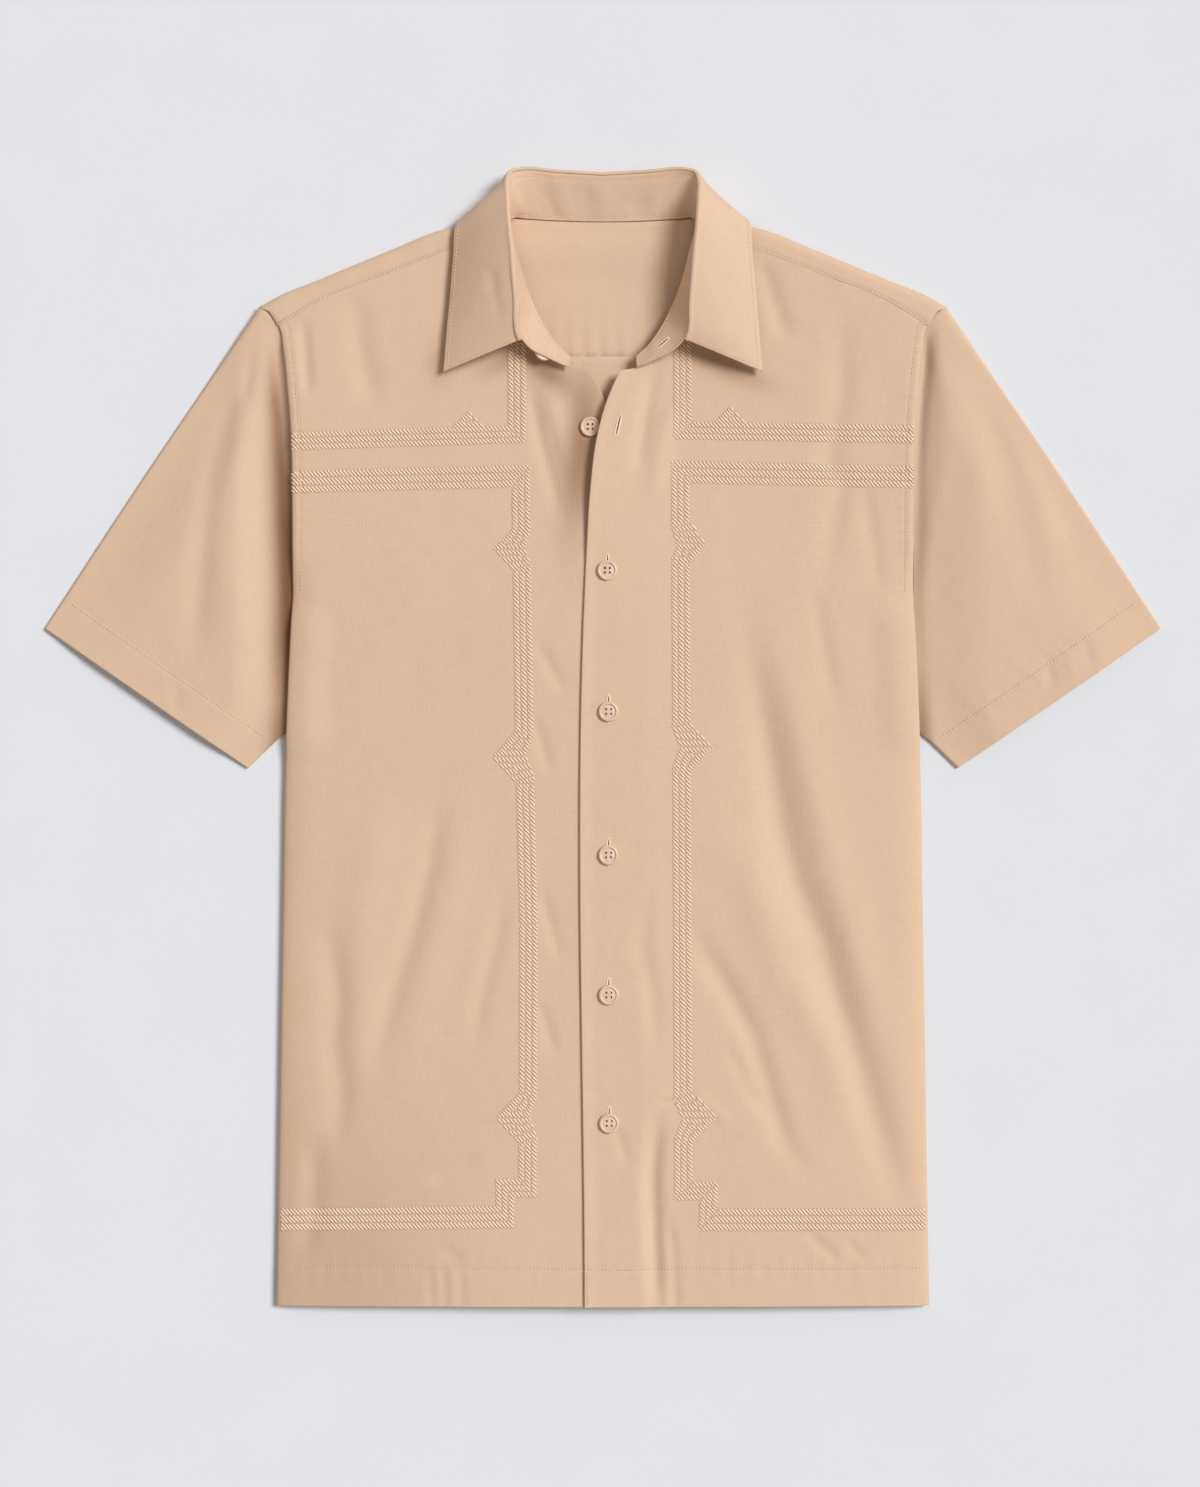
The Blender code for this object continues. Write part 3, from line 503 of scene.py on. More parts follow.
def crease_height(creases, x, drop):
    """The creases' height: a bell across each crease's line, fading in and out along it."""
    total = 0.0
    for crease in creases:
        away, share = nearest_on(crease.path, x, drop)
        ends = ramp(share, -0.02, 0.3) * (1 - ramp(share, 0.72, 1.02))
        total = total + crease.height * bell(away, crease.width) * ends
    return total


def ripples(x, drop, size, seed):
    """Soft hills from -1 to 1: seeded heights on a grid of that size, joined by the soft S."""
    heights = np.random.default_rng(seed).uniform(-1, 1, (80, 80))
    u, v = np.asarray(x, float) / size[0] + 40.0, np.asarray(drop, float) / size[1] + 2.0
    i, j = np.floor(u).astype(int) % 79, np.floor(v).astype(int) % 79
    s, t = smooth(u - np.floor(u)), smooth(v - np.floor(v))
    low = heights[i, j] * (1 - s) + heights[i + 1, j] * s
    high = heights[i, j + 1] * (1 - s) + heights[i + 1, j + 1] * s
    return low * (1 - t) + high * t


def puckers(along, across, pitch, reach, seed):
    """The gathers beside a stitched line: a wave along it, uneven, and fading away from it."""
    uneven = 0.6 + 0.4 * ripples(along, across, (37.0, 60.0), seed)
    wave = np.cos(2 * np.pi * along / pitch + 2.2 * ripples(along, across, (23.0, 90.0), seed + 1))
    return wave * uneven * bell(across, reach)


def cloth_relief(x, drop):
    """The fine unevenness of worn cotton: three sizes of soft hills added up."""
    return (
        0.30 * ripples(x, drop, (34.0, 58.0), 3)
        + 0.12 * ripples(x, drop, (13.0, 21.0), 5)
        + 0.045 * ripples(x, drop, (5.5, 7.0), 8)
    )


def front_height(x, drop):
    """The top of the fronts: a low plateau, raised at the neck, with creases and fine relief."""
    neck = bell(np.hypot((np.abs(x) - 52) / 26, (drop - 84) / 44), 1.0)
    shoulder = 1 - ramp(drop, 60, 150)
    hem = ramp(drop, 640, LENGTH)
    dome = DOME * (1 - (np.asarray(x) / BODY_SIDE[0].half_width) ** 2) * ramp(drop, 170, 330)
    height = FRONT_HEIGHT + 1.4 * neck + 0.4 * shoulder - 1.2 * hem + dome
    return height + crease_height(FRONT_CREASES, x, drop) + cloth_relief(x, drop)


def edge_at(rows, drop):
    """Where a front's free edge lies at some drops."""
    fine = spline(rows, np.linspace(0, 1, 400))
    return np.interp(-np.asarray(drop, float), -fine[:, 1], fine[:, 0])


def opening_lift(x, drop):
    """How far the left front's free edge lifts beside the unfastened opening."""
    edge = edge_at(LEFT_EDGE, drop)
    near = 1 - ramp(x, edge, edge + 46)
    down = ramp(drop, 128, 176) * (1 - ramp(drop, 200, 282))
    return (0.8 + 3.4 * down) * near * (1 - ramp(drop, 262, 283))


def opening_dip(x, drop):
    """How far the right front sinks where it passes under the left one."""
    return 2.2 * ramp(x, -40, -8) * ramp(drop, 150, 180) * (1 - ramp(drop, 215, 275))


def tuck(drop, inside):
    """The body's lift over the sleeve, at a distance inside the body's side."""
    stretch = ramp(drop, *TUCK_TOP) * (1 - ramp(drop, *TUCK_BOTTOM))
    return TUCK_LIFT * stretch * (1 - ramp(inside, 9, 34))


def side_height(drop):
    """The height of the side seam."""
    return SIDE_SEAM_HEIGHT + 0.8 * tuck(drop, 0.0)


def front_top(side, x, drop):
    """The height of a front's upper face anywhere on it: plateau, overlap, side roll, hem, seams."""
    x, drop = np.broadcast_arrays(np.asarray(x, float), np.asarray(drop, float))
    height = front_height(x, drop)
    if side > 0:
        over = (1.0 + LAYER_GAP) * (1 - ramp(x, 26, 60))
        edge = edge_at(LEFT_EDGE, drop)
        height = height + over + opening_lift(x, drop) + 0.9 * (1 - ramp(x, edge, edge + 9))
        height = height + 0.22 * bell(x - 27.0, 1.6) * ramp(drop, 380, 560)
    else:
        height = height - opening_dip(x, drop)
    inside = body_half_width(drop) - side * x
    height = height + 0.55 * tuck(drop, inside)
    below_armpit = ramp(drop, 262, 300)
    round_off = np.sqrt(1 - (1 - np.clip(inside / SIDE_ROLL, 0, 1)) ** 2)
    seam = side_height(drop)
    height = height + below_armpit * ((seam + (height - seam) * round_off) - height)
    near_arm = (1 - below_armpit) * ramp(drop, 100, 128)
    edge_round = 1 - np.sqrt(1 - (1 - np.clip(inside / 5.5, 0, 1)) ** 2)
    gathers = puckers(drop, inside - ARM_STITCH_IN, 9.0, 5.0, 21)
    groove = bell(inside - ARM_STITCH_IN, 1.1)
    height = height + near_arm * (0.22 * gathers - 0.35 * groove - 1.9 * edge_round)
    over_hem = LENGTH - HEM_DEPTH - drop
    hem_band = ramp(-over_hem, -1.0, 1.0)
    inner = ramp(inside, 4, 16)
    gathers = puckers(x, over_hem, 10.5, 12.0, 31)
    height = height + HEM_CLOTH * hem_band + inner * (0.20 * gathers - 0.3 * bell(over_hem, 1.1))
    return height


# Meshes


def normals(grid, around=False, upright=False, lean=(0.0, 0.0)):
    """Unit normals of a grid of points, from the cross product of its two directions.

    upright cuts the open edges square to the table. lean turns the first and the last
    column's edge from square to level, as far as its share for each row says.
    """
    down = np.gradient(grid, axis=0)
    if around:
        across = np.roll(grid, -1, axis=1) - np.roll(grid, 1, axis=1)
    else:
        across = np.gradient(grid, axis=1)
    if upright:
        down[[0, -1], :, 2] = 0
    if upright and not around:
        for column, share in zip((0, -1), lean):
            share = np.broadcast_to(share, len(grid))
            across[:, column, 2] *= share
            across[:, column, :2] *= (1.0 - share)[:, None]
    return unit(np.cross(down, across))


def to_metres(points):
    """x, drop and z in millimetres as x, y and z in metres about the shirt's middle."""
    x, drop, z = np.moveaxis(np.asarray(points, float), -1, 0)
    return np.stack([x, LENGTH / 2 - drop, z], axis=-1) * MM


def corners_of(grid):
    """The four corners of each cell of a grid, in order round the cell."""
    return np.stack([grid[:-1, :-1], grid[:-1, 1:], grid[1:, 1:], grid[1:, :-1]], axis=2)


def ring_faces(count, sides, capped):
    """The faces over a row of rings, with a cap at either end or the last ring joined to the first."""
    number = np.arange(count * sides).reshape(count, sides)
    number = np.concatenate([number, number[:, :1]], axis=1)
    if not capped:
        number = np.concatenate([number, number[:1]], axis=0)
    faces = corners_of(number).reshape(-1, 4).tolist()
    if capped:
        faces.append(number[0, :-1][::-1].tolist())
        faces.append(number[-1, :-1].tolist())
    return faces


def outward(points, faces):
    """The faces, all turned if the volume that they close comes out below zero."""
    corners = points[np.array([face[:3] for face in faces])]
    corners = corners - points.mean(axis=0)
    volume = np.einsum("ij,ij->i", corners[:, 0], np.cross(corners[:, 1], corners[:, 2])).sum()
    return [face[::-1] for face in faces] if volume < 0 else faces


def new_object(name, points, faces, material, smooth_angle=0.9):
    """A mesh object at the origin, from points in metres."""
    mesh = bpy.data.meshes.new(name)
    mesh.from_pydata(points.tolist(), [], faces)
    mesh.shade_smooth()
    if smooth_angle:
        mesh.set_sharp_from_angle(angle=smooth_angle)
    mesh.materials.append(material)
    made = bpy.data.objects.new(name, mesh)
    bpy.context.scene.collection.objects.link(made)
    return made


def cloth_wall(name, face, other, material, weave, present=None, around=False, shade=None, painted_shade=None):
    """A closed sheet of cloth between two matching grids of points, with rounded open edges.

    Each open edge gets a middle line that stands out from it by a share of the thickness.
    weave gives each point its place in the cloth in millimetres. shade marks stitched lines, where
    painted shade darkens the cloth. The last mark paints a warm, dim shade into the depths of folds
    and under the collar, standing in for the light that the cloth throws on itself.
    """
    rows, columns = face.shape[:2]
    present = np.ones((rows, columns), bool) if present is None else present
    number = np.full((rows, columns), -1)
    number[present] = np.arange(present.sum())
    count = int(present.sum())
    if around:
        number = np.concatenate([number, number[:, :1]], axis=1)
    cells, placed = corners_of(number), corners_of(weave)
    kept = (cells >= 0).all(axis=-1)
    cells, placed = cells[kept], placed[kept]
    ends = np.concatenate([cells[:, [k, (k + 1) % 4]] for k in range(4)])
    ends_placed = np.concatenate([placed[:, [k, (k + 1) % 4]] for k in range(4)])
    forward, backward = ends @ [count, 1], ends @ [1, count]
    is_open = ~np.isin(forward, backward)
    ends_placed, open_ends = ends_placed[is_open], ends[is_open]
    rim, open_ends_rim = np.unique(open_ends, return_inverse=True)
    open_ends_rim = open_ends_rim.reshape(open_ends.shape)

    top, under = face[present], other[present]
    total, seen = np.zeros((count, 3)), np.zeros(count)
    for a, b in ((0, 1), (1, 0)):
        np.add.at(total, ends[:, a], top[ends[:, b]])
        np.add.at(seen, ends[:, a], 1)
    away = top[rim] - total[rim] / seen[rim, None]
    away = away / np.maximum(np.linalg.norm(away, axis=1, keepdims=True), 1e-9)
    thick = np.linalg.norm(top[rim] - under[rim], axis=1, keepdims=True)
    middle = (top[rim] + under[rim]) / 2 + 0.4 * thick * away

    a, b = open_ends[:, 0], open_ends[:, 1]
    middle_a, middle_b = 2 * count + open_ends_rim[:, 0], 2 * count + open_ends_rim[:, 1]
    faces = np.concatenate([
        cells,
        cells[:, ::-1] + count,
        np.stack([b, a, middle_a, middle_b], axis=1),
        np.stack([middle_b, middle_a, a + count, b + count], axis=1),
    ])
    edge_placed = ends_placed[:, [1, 0, 0, 1]]
    coordinates = np.concatenate([placed, placed[:, ::-1], edge_placed, edge_placed])
    points = to_metres(np.concatenate([top, under, middle]))
    listed = faces.tolist()
    turned = outward(points, listed)
    if turned is not listed:
        coordinates = coordinates[:, ::-1]
    made = new_object(name, points, turned, material)
    layer = made.data.uv_layers.new(name="weave")
    layer.data.foreach_set("uv", (coordinates.reshape(-1, 2) * MM).astype(np.float32).ravel())
    for label, given in (("stitched", shade), ("painted_shade", painted_shade)):
        marks = np.zeros(len(points), np.float32)
        if given is not None:
            marks[:count] = given[present]
        attribute = made.data.attributes.new(label, "FLOAT", "POINT")
        attribute.data.foreach_set("value", marks)
    return made


def grid_weave(face, around=False):
    """The cloth's own coordinates over a grid: distances down its columns and across its rows."""
    if around:
        face = np.concatenate([face, face[:, :1]], axis=1)
    filled = np.nan_to_num(face)
    down = np.cumsum(np.linalg.norm(np.diff(filled, axis=0), axis=2), axis=0)
    across = np.cumsum(np.linalg.norm(np.diff(filled, axis=1), axis=2), axis=1)
    down = np.concatenate([np.zeros((1, face.shape[1])), down])
    across = np.concatenate([np.zeros((len(face), 1)), across], axis=1)
    return np.stack([across, down], axis=-1)


def closed_grid(grid, capped=False):
    """A closed surface from a grid of rings laid out on the shirt."""
    points = to_metres(grid.reshape(-1, 3))
    return points, outward(points, ring_faces(*grid.shape[:2], capped))


def take_place(made, *nodes, slot=None):
    """The piece rides on the shirt and stands for its plain solids, which it hides. Its slot is not used.
    """
    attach(made, "root")
    if nodes:
        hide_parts(*nodes)
    return made


# Finishes


def set_inputs(made, **values):
    """A node with its plain inputs set by name."""
    for name, value in values.items():
        made.inputs[name.replace("_", " ")].default_value = value
    return made


def node(tree, kind, **inputs):
    """A new node of a material, with its plain inputs set by name."""
    return set_inputs(tree.nodes.new(kind), **inputs)


def math(tree, operation, first, second):
    """Two numbers added or multiplied, where each is a socket or a plain number."""
    made = tree.nodes.new("ShaderNodeMath")
    made.operation = operation
    for socket, value in zip(made.inputs, (first, second)):
        if isinstance(value, bpy.types.NodeSocket):
            tree.links.new(value, socket)
        else:
            socket.default_value = value
    return made.outputs[0]


def stretched_noise(tree, vector, scale, detail=2.0, roughness=0.5):
    """Noise on coordinates scaled by (x, y, z), so that it can be drawn out into threads."""
    mapping = node(tree, "ShaderNodeMapping", Scale=scale)
    tree.links.new(vector, mapping.inputs["Vector"])
    noise = node(tree, "ShaderNodeTexNoise", Scale=1.0, Detail=detail, Roughness=roughness)
    tree.links.new(mapping.outputs["Vector"], noise.inputs["Vector"])
    return noise.outputs["Fac"]


def spread(tree, value, start, end, low=0.0, high=1.0):
    """A number taken from its range between start and end to one between low and high."""
    made = node(tree, "ShaderNodeMapRange", From_Min=start, From_Max=end, To_Min=low, To_Max=high)
    tree.links.new(value, made.inputs["Value"])
    return made.outputs["Result"]


def carried(tree, name):
    """A number that the mesh carries point by point."""
    made = tree.nodes.new("ShaderNodeAttribute")
    made.attribute_name = name
    return made.outputs["Fac"]


def blend_colours(tree, share, first, second):
    """A mix of two colours by a socket's share."""
    made = tree.nodes.new("ShaderNodeMix")
    made.data_type = "RGBA"
    tree.links.new(share, made.inputs["Factor"])
    for socket, value in ((made.inputs["A"], first), (made.inputs["B"], second)):
        if isinstance(value, bpy.types.NodeSocket):
            tree.links.new(value, socket)
        else:
            socket.default_value = (*value[:3], 1.0)
    return made.outputs["Result"]


def scaled(colour, share):
    """A colour times one number, or times one for each of red, green and blue."""
    return tuple(np.multiply(colour[:3], share).tolist())


def new_finish(name):
    """A new material, its node tree, its main shader and its object coordinates."""
    made = bpy.data.materials.new(name)
    made.use_nodes = True
    tree = made.node_tree
    place = tree.nodes.new("ShaderNodeTexCoord").outputs["Object"]
    return made, tree, tree.nodes["Principled BSDF"], place


def finish_surface(tree, shader, base, height=None, strength=0.0, distance=0.0):
    """The finish's colour and, from a height between 0 and 1, its fine relief."""
    tree.links.new(base, shader.inputs["Base Color"])
    if height is not None:
        bump = node(tree, "ShaderNodeBump", Strength=strength, Distance=distance)
        tree.links.new(height, bump.inputs["Height"])
        tree.links.new(bump.outputs["Normal"], shader.inputs["Normal"])


def cotton(name, colour, shadow, mottle):
    """Plain-woven cotton: yarns of uneven thickness both ways, a soft mottle and a faint nap.

    Painted shade darkens the cloth along stitched lines and under the embroidery, and a warm painted shade
    fills the depths of folds and the places under the collar.
    """
    made, tree, shader, _ = new_finish(name)
    place = tree.nodes.new("ShaderNodeUVMap")
    place.uv_map = "weave"
    weave = place.outputs["UV"]
    warp = stretched_noise(tree, weave, (1500.0, 70.0, 1.0), 3.0, 0.6)
    weft = stretched_noise(tree, weave, (70.0, 1500.0, 1.0), 3.0, 0.6)
    yarns = math(tree, "ADD", warp, weft)
    cloudy = stretched_noise(tree, weave, (22.0, 22.0, 1.0), 3.0, 0.55)
    slow = stretched_noise(tree, weave, (7.0, 5.0, 1.0), 2.0, 0.5)
    clouds = math(tree, "MULTIPLY", math(tree, "ADD", cloudy, slow), 0.5)
    base = blend_colours(tree, spread(tree, yarns, 0.75, 1.25), shadow, colour)
    base = blend_colours(tree, spread(tree, clouds, 0.35, 0.65, high=0.55), base, mottle)
    # Painted shade: darker along stitched lines and under the embroidery, then a warm dim painted shade in
    # the depths of folds and under the collar
    stitched = math(tree, "MULTIPLY", carried(tree, "stitched"), 0.55)
    base = blend_colours(tree, stitched, base, scaled(shadow, 0.62))
    base = blend_colours(tree, carried(tree, "painted_shade"), base, scaled(colour, PAINTED_FOLD_SHADE))
    finish_surface(tree, shader, base, yarns, 0.3, 0.00035)
    set_inputs(shader, Roughness=0.82, Specular_IOR_Level=0.28)
    set_inputs(shader, Sheen_Weight=0.10, Sheen_Roughness=0.45, Sheen_Tint=(1.0, 0.93, 0.86, 1.0))
    return made


def thread_finish(name, colour, shadow, twist):
    """Twisted sewing thread: fine slanting plies with a soft gloss."""
    made, tree, shader, place = new_finish(name)
    plies = stretched_noise(tree, place, (twist, twist * 0.6, twist), 2.0, 0.6)
    cloudy = stretched_noise(tree, place, (160.0, 160.0, 160.0), 2.0, 0.5)
    share = math(tree, "MULTIPLY", math(tree, "ADD", plies, cloudy), 0.5)
    base = blend_colours(tree, spread(tree, share, 0.36, 0.64), shadow, colour)
    finish_surface(tree, shader, base, plies, 0.4, 0.0002)
    set_inputs(shader, Roughness=0.55, Specular_IOR_Level=0.3)
    set_inputs(shader, Sheen_Weight=0.05, Sheen_Roughness=0.3)
    return made


def button_finish(name, colour, shadow):
    """Moulded button: a pale clouded body, fine turning marks and a satin polish."""
    made, tree, shader, place = new_finish(name)
    cloudy = stretched_noise(tree, place, (260.0, 180.0, 260.0), 4.0, 0.6)
    base = blend_colours(tree, spread(tree, cloudy, 0.35, 0.62), shadow, colour)
    turning = stretched_noise(tree, place, (1500.0, 1500.0, 1500.0))
    finish_surface(tree, shader, base, turning, 0.15, 0.0001)
    tree.links.new(spread(tree, cloudy, 0.0, 1.0, 0.26, 0.44), shader.inputs["Roughness"])
    set_inputs(shader, Coat_Weight=0.25, Coat_Roughness=0.2)
    return made


def plain_finish(name, colour, darker, grain, **inputs):
    """A plain matt finish with a grain between the colour and a darker one."""
    made, tree, shader, place = new_finish(name)
    noise = stretched_noise(tree, place, (grain, grain, grain))
    finish_surface(tree, shader, blend_colours(tree, noise, colour, scaled(colour, darker)))
    set_inputs(shader, **inputs)
    return made


def shared_finish(name, build):
    """The finish of that name, made the first time that it is asked for."""
    return bpy.data.materials.get(name) or build(name)


def shirt_cotton(colours):
    """The finish that every cloth piece shares."""
    return shared_finish(
        "tan_cotton",
        lambda name: cotton(name, colours.cloth, colours.cloth_shadow, colours.cloth_mottle),
    )


def sewing_thread(colours):
    """The finish that all the seams, buttonholes and button threads share."""
    return shared_finish(
        "tan_sewing_thread",
        lambda name: thread_finish(name, colours.thread, colours.thread_shadow, 1400.0),
    )


# The cloth pieces


def row_drops():
    """The level rows of a front from the hem to the armpit, closer together at the hem's stitching."""
    plain = np.linspace(LENGTH, ARMHOLE[0].drop, 196)
    stitch = LENGTH - HEM_DEPTH
    extra = np.array([LENGTH - 0.5, LENGTH - 1.2, *(stitch + np.array([-1.6, -0.7, 0, 0.7, 1.6]))])
    clear = np.abs(plain[:, None] - extra).min(axis=1) > 1.0
    clear[[0, -1]] = True
    return np.sort(np.concatenate([plain[clear], extra]))[::-1]


def front_plan(side, edge_rows):
    """The rows and columns of a front seen from above, and how far each point is inside its side.

    Rows run level up to the armpit, then turn to follow the shoulder seam. Columns are crowded
    beside the armhole's stitching and the free edge.
    """
    chest, top = 48, 56
    level = row_drops()
    low = np.stack([half_width_at(BODY_SIDE, level), level], axis=1)
    high = spline(ARMHOLE, np.linspace(0, 1, chest + top + 1)[1:])
    high[:, 0] = half_width_at(ARM_LINE, high[:, 1])
    outer = np.concatenate([low, high]) * [side, 1]
    chest_drops = np.linspace(ARMHOLE[0].drop, edge_rows[-1].drop, chest + 1)[1:]
    edge_drops = np.concatenate([level, chest_drops])
    neckline = spline(NECKLINE, np.linspace(0, 1, top + 1)[1:]) * [side, 1]
    free_edge = np.stack([edge_at(edge_rows, edge_drops), edge_drops], axis=1)
    inner = np.concatenate([free_edge, neckline])

    width = np.linalg.norm(inner - outer, axis=1)[:, None]
    roll = np.array([0, 0.4, 1.0, 1.8, 2.8, 4.0, 5.1, 5.8, 6.5, 7.6, 8.8, 10.4, 12.2, 14.4, 17.0, 20.0])
    lip = np.array([11.0, 8.6, 6.4, 4.6, 3.2, 2.2, 1.5, 0.9, 0.35, 0.0])
    middle = np.linspace(0, 1, 79)[1:-1]
    from_outer = np.broadcast_to(roll, (len(outer), len(roll)))
    between = roll[-1] + (width - lip[0] - roll[-1]) * middle
    inside = np.concatenate([from_outer, between, width - lip], axis=1)
    plan = outer[:, None] + (inside / width)[..., None] * (inner - outer)[:, None]
    seam_drop = drop_at(FRONT_SEAM, np.abs(plan[-1, :, 0]))
    rise = np.concatenate([np.zeros(len(plan) - top), np.linspace(0, 1, top + 1)[1:]])
    plan[..., 1] += rise[:, None] * (seam_drop - plan[-1, :, 1])
    return plan, list(roll).index(ARM_STITCH_IN)


def make_front(name, side, edge_rows, thick, material):
    """One front panel: its plan's points raised by front_top, and a second face below them."""
    plan, stitch_column = front_plan(side, edge_rows)
    x, drop = plan[..., 0], plan[..., 1]
    top_face = np.stack([x, drop, front_top(side, x, drop)], axis=2)
    below_armpit = ramp(drop[:, 0], 262, 300)
    found = normals(top_face, upright=True, lean=(below_armpit, 0.0))
    # Painted shade along the hem's and the armhole's stitching, and faint painted shade under the
    # embroidery
    shade = np.zeros(x.shape)
    shade[np.argmin(np.abs(drop[:, 0] - (LENGTH - HEM_DEPTH))), 2:] = SEAM_SHADE
    shade[drop[:, stitch_column] < ARMHOLE[0].drop - 2, stitch_column] = SEAM_SHADE
    for runs in BORDER_RUNS[side]:
        away, _ = nearest_on(border_path(runs)[0], x, drop)
        shade = np.maximum(shade, BORDER_SHADE * (1 - ramp(away, *BORDER_SHADE_FADES)))
    # Painted shade: soft dark patches where the collar's shadows and the shade of folds fall
    painted_shade = np.zeros(x.shape)
    for shade_patch in FRONT_PAINTED_SHADES[side]:
        turn = np.radians(shade_patch.turn)
        along = (x - shade_patch.x) * np.cos(turn) + (drop - shade_patch.drop) * np.sin(turn)
        across = (drop - shade_patch.drop) * np.cos(turn) - (x - shade_patch.x) * np.sin(turn)
        painted_shade += shade_patch.strength * bell(along, shade_patch.half_x) * bell(across, shade_patch.half_drop)
    under = top_face + side * thick * found
    return cloth_wall(name, top_face, under, material, plan, shade=shade, painted_shade=np.minimum(painted_shade, 1))


def make_back(name, thick, material):
    """The back below the yoke: flat on the table, turning up to the side seams."""
    drops = np.concatenate([np.linspace(LENGTH, 300, 70), np.linspace(297, YOKE_SEAM_DROP, 44)])
    roll = np.array([0, 0.6, 1.4, 2.4, 3.8, 6.0, 8.8, 12.0, 16.0, 21.0, 27.0, 34.0])
    half = body_half_width(drops)
    below_armpit = ramp(drops, 282, 300)[:, None]
    edge = np.broadcast_to(roll, (len(drops), len(roll)))
    middle = roll[-1] + (half[:, None] - roll[-1]) * np.linspace(0, 1, 34)[1:]
    inside = np.concatenate([edge, middle], axis=1)
    seam = side_height(drops)[:, None] - SEAM_GAP
    turn = 1 - np.sqrt(1 - (1 - np.clip(inside / 20, 0, 1)) ** 2)
    lifted = tuck(drops[:, None], inside)
    height = below_armpit * np.maximum(turn * (seam - lifted) + lifted, 0)
    x = -(half[:, None] - inside)
    right = np.stack([x, np.broadcast_to(drops[:, None], x.shape), height], axis=2)
    left = right[:, -2::-1] * [-1, 1, 1]
    under = np.concatenate([right, left], axis=1)
    relief = 0.35 * (1 + ripples(under[..., 0], under[..., 1], (26.0, 44.0), 41))
    relief = relief + 0.9 * (1 + puckers(under[..., 0], under[..., 1] - YOKE_SEAM_DROP, 12.0, 22.0, 43))
    flat = (1 - ramp(under[..., 1], 250, 290)) * ramp(200 - np.abs(under[..., 0]), 0, 40)
    under[..., 2] += relief * flat
    lean = below_armpit[:, 0]
    found = normals(under, upright=True, lean=(lean, lean))
    return cloth_wall(name, under, under + thick * found, material, under[..., :2])


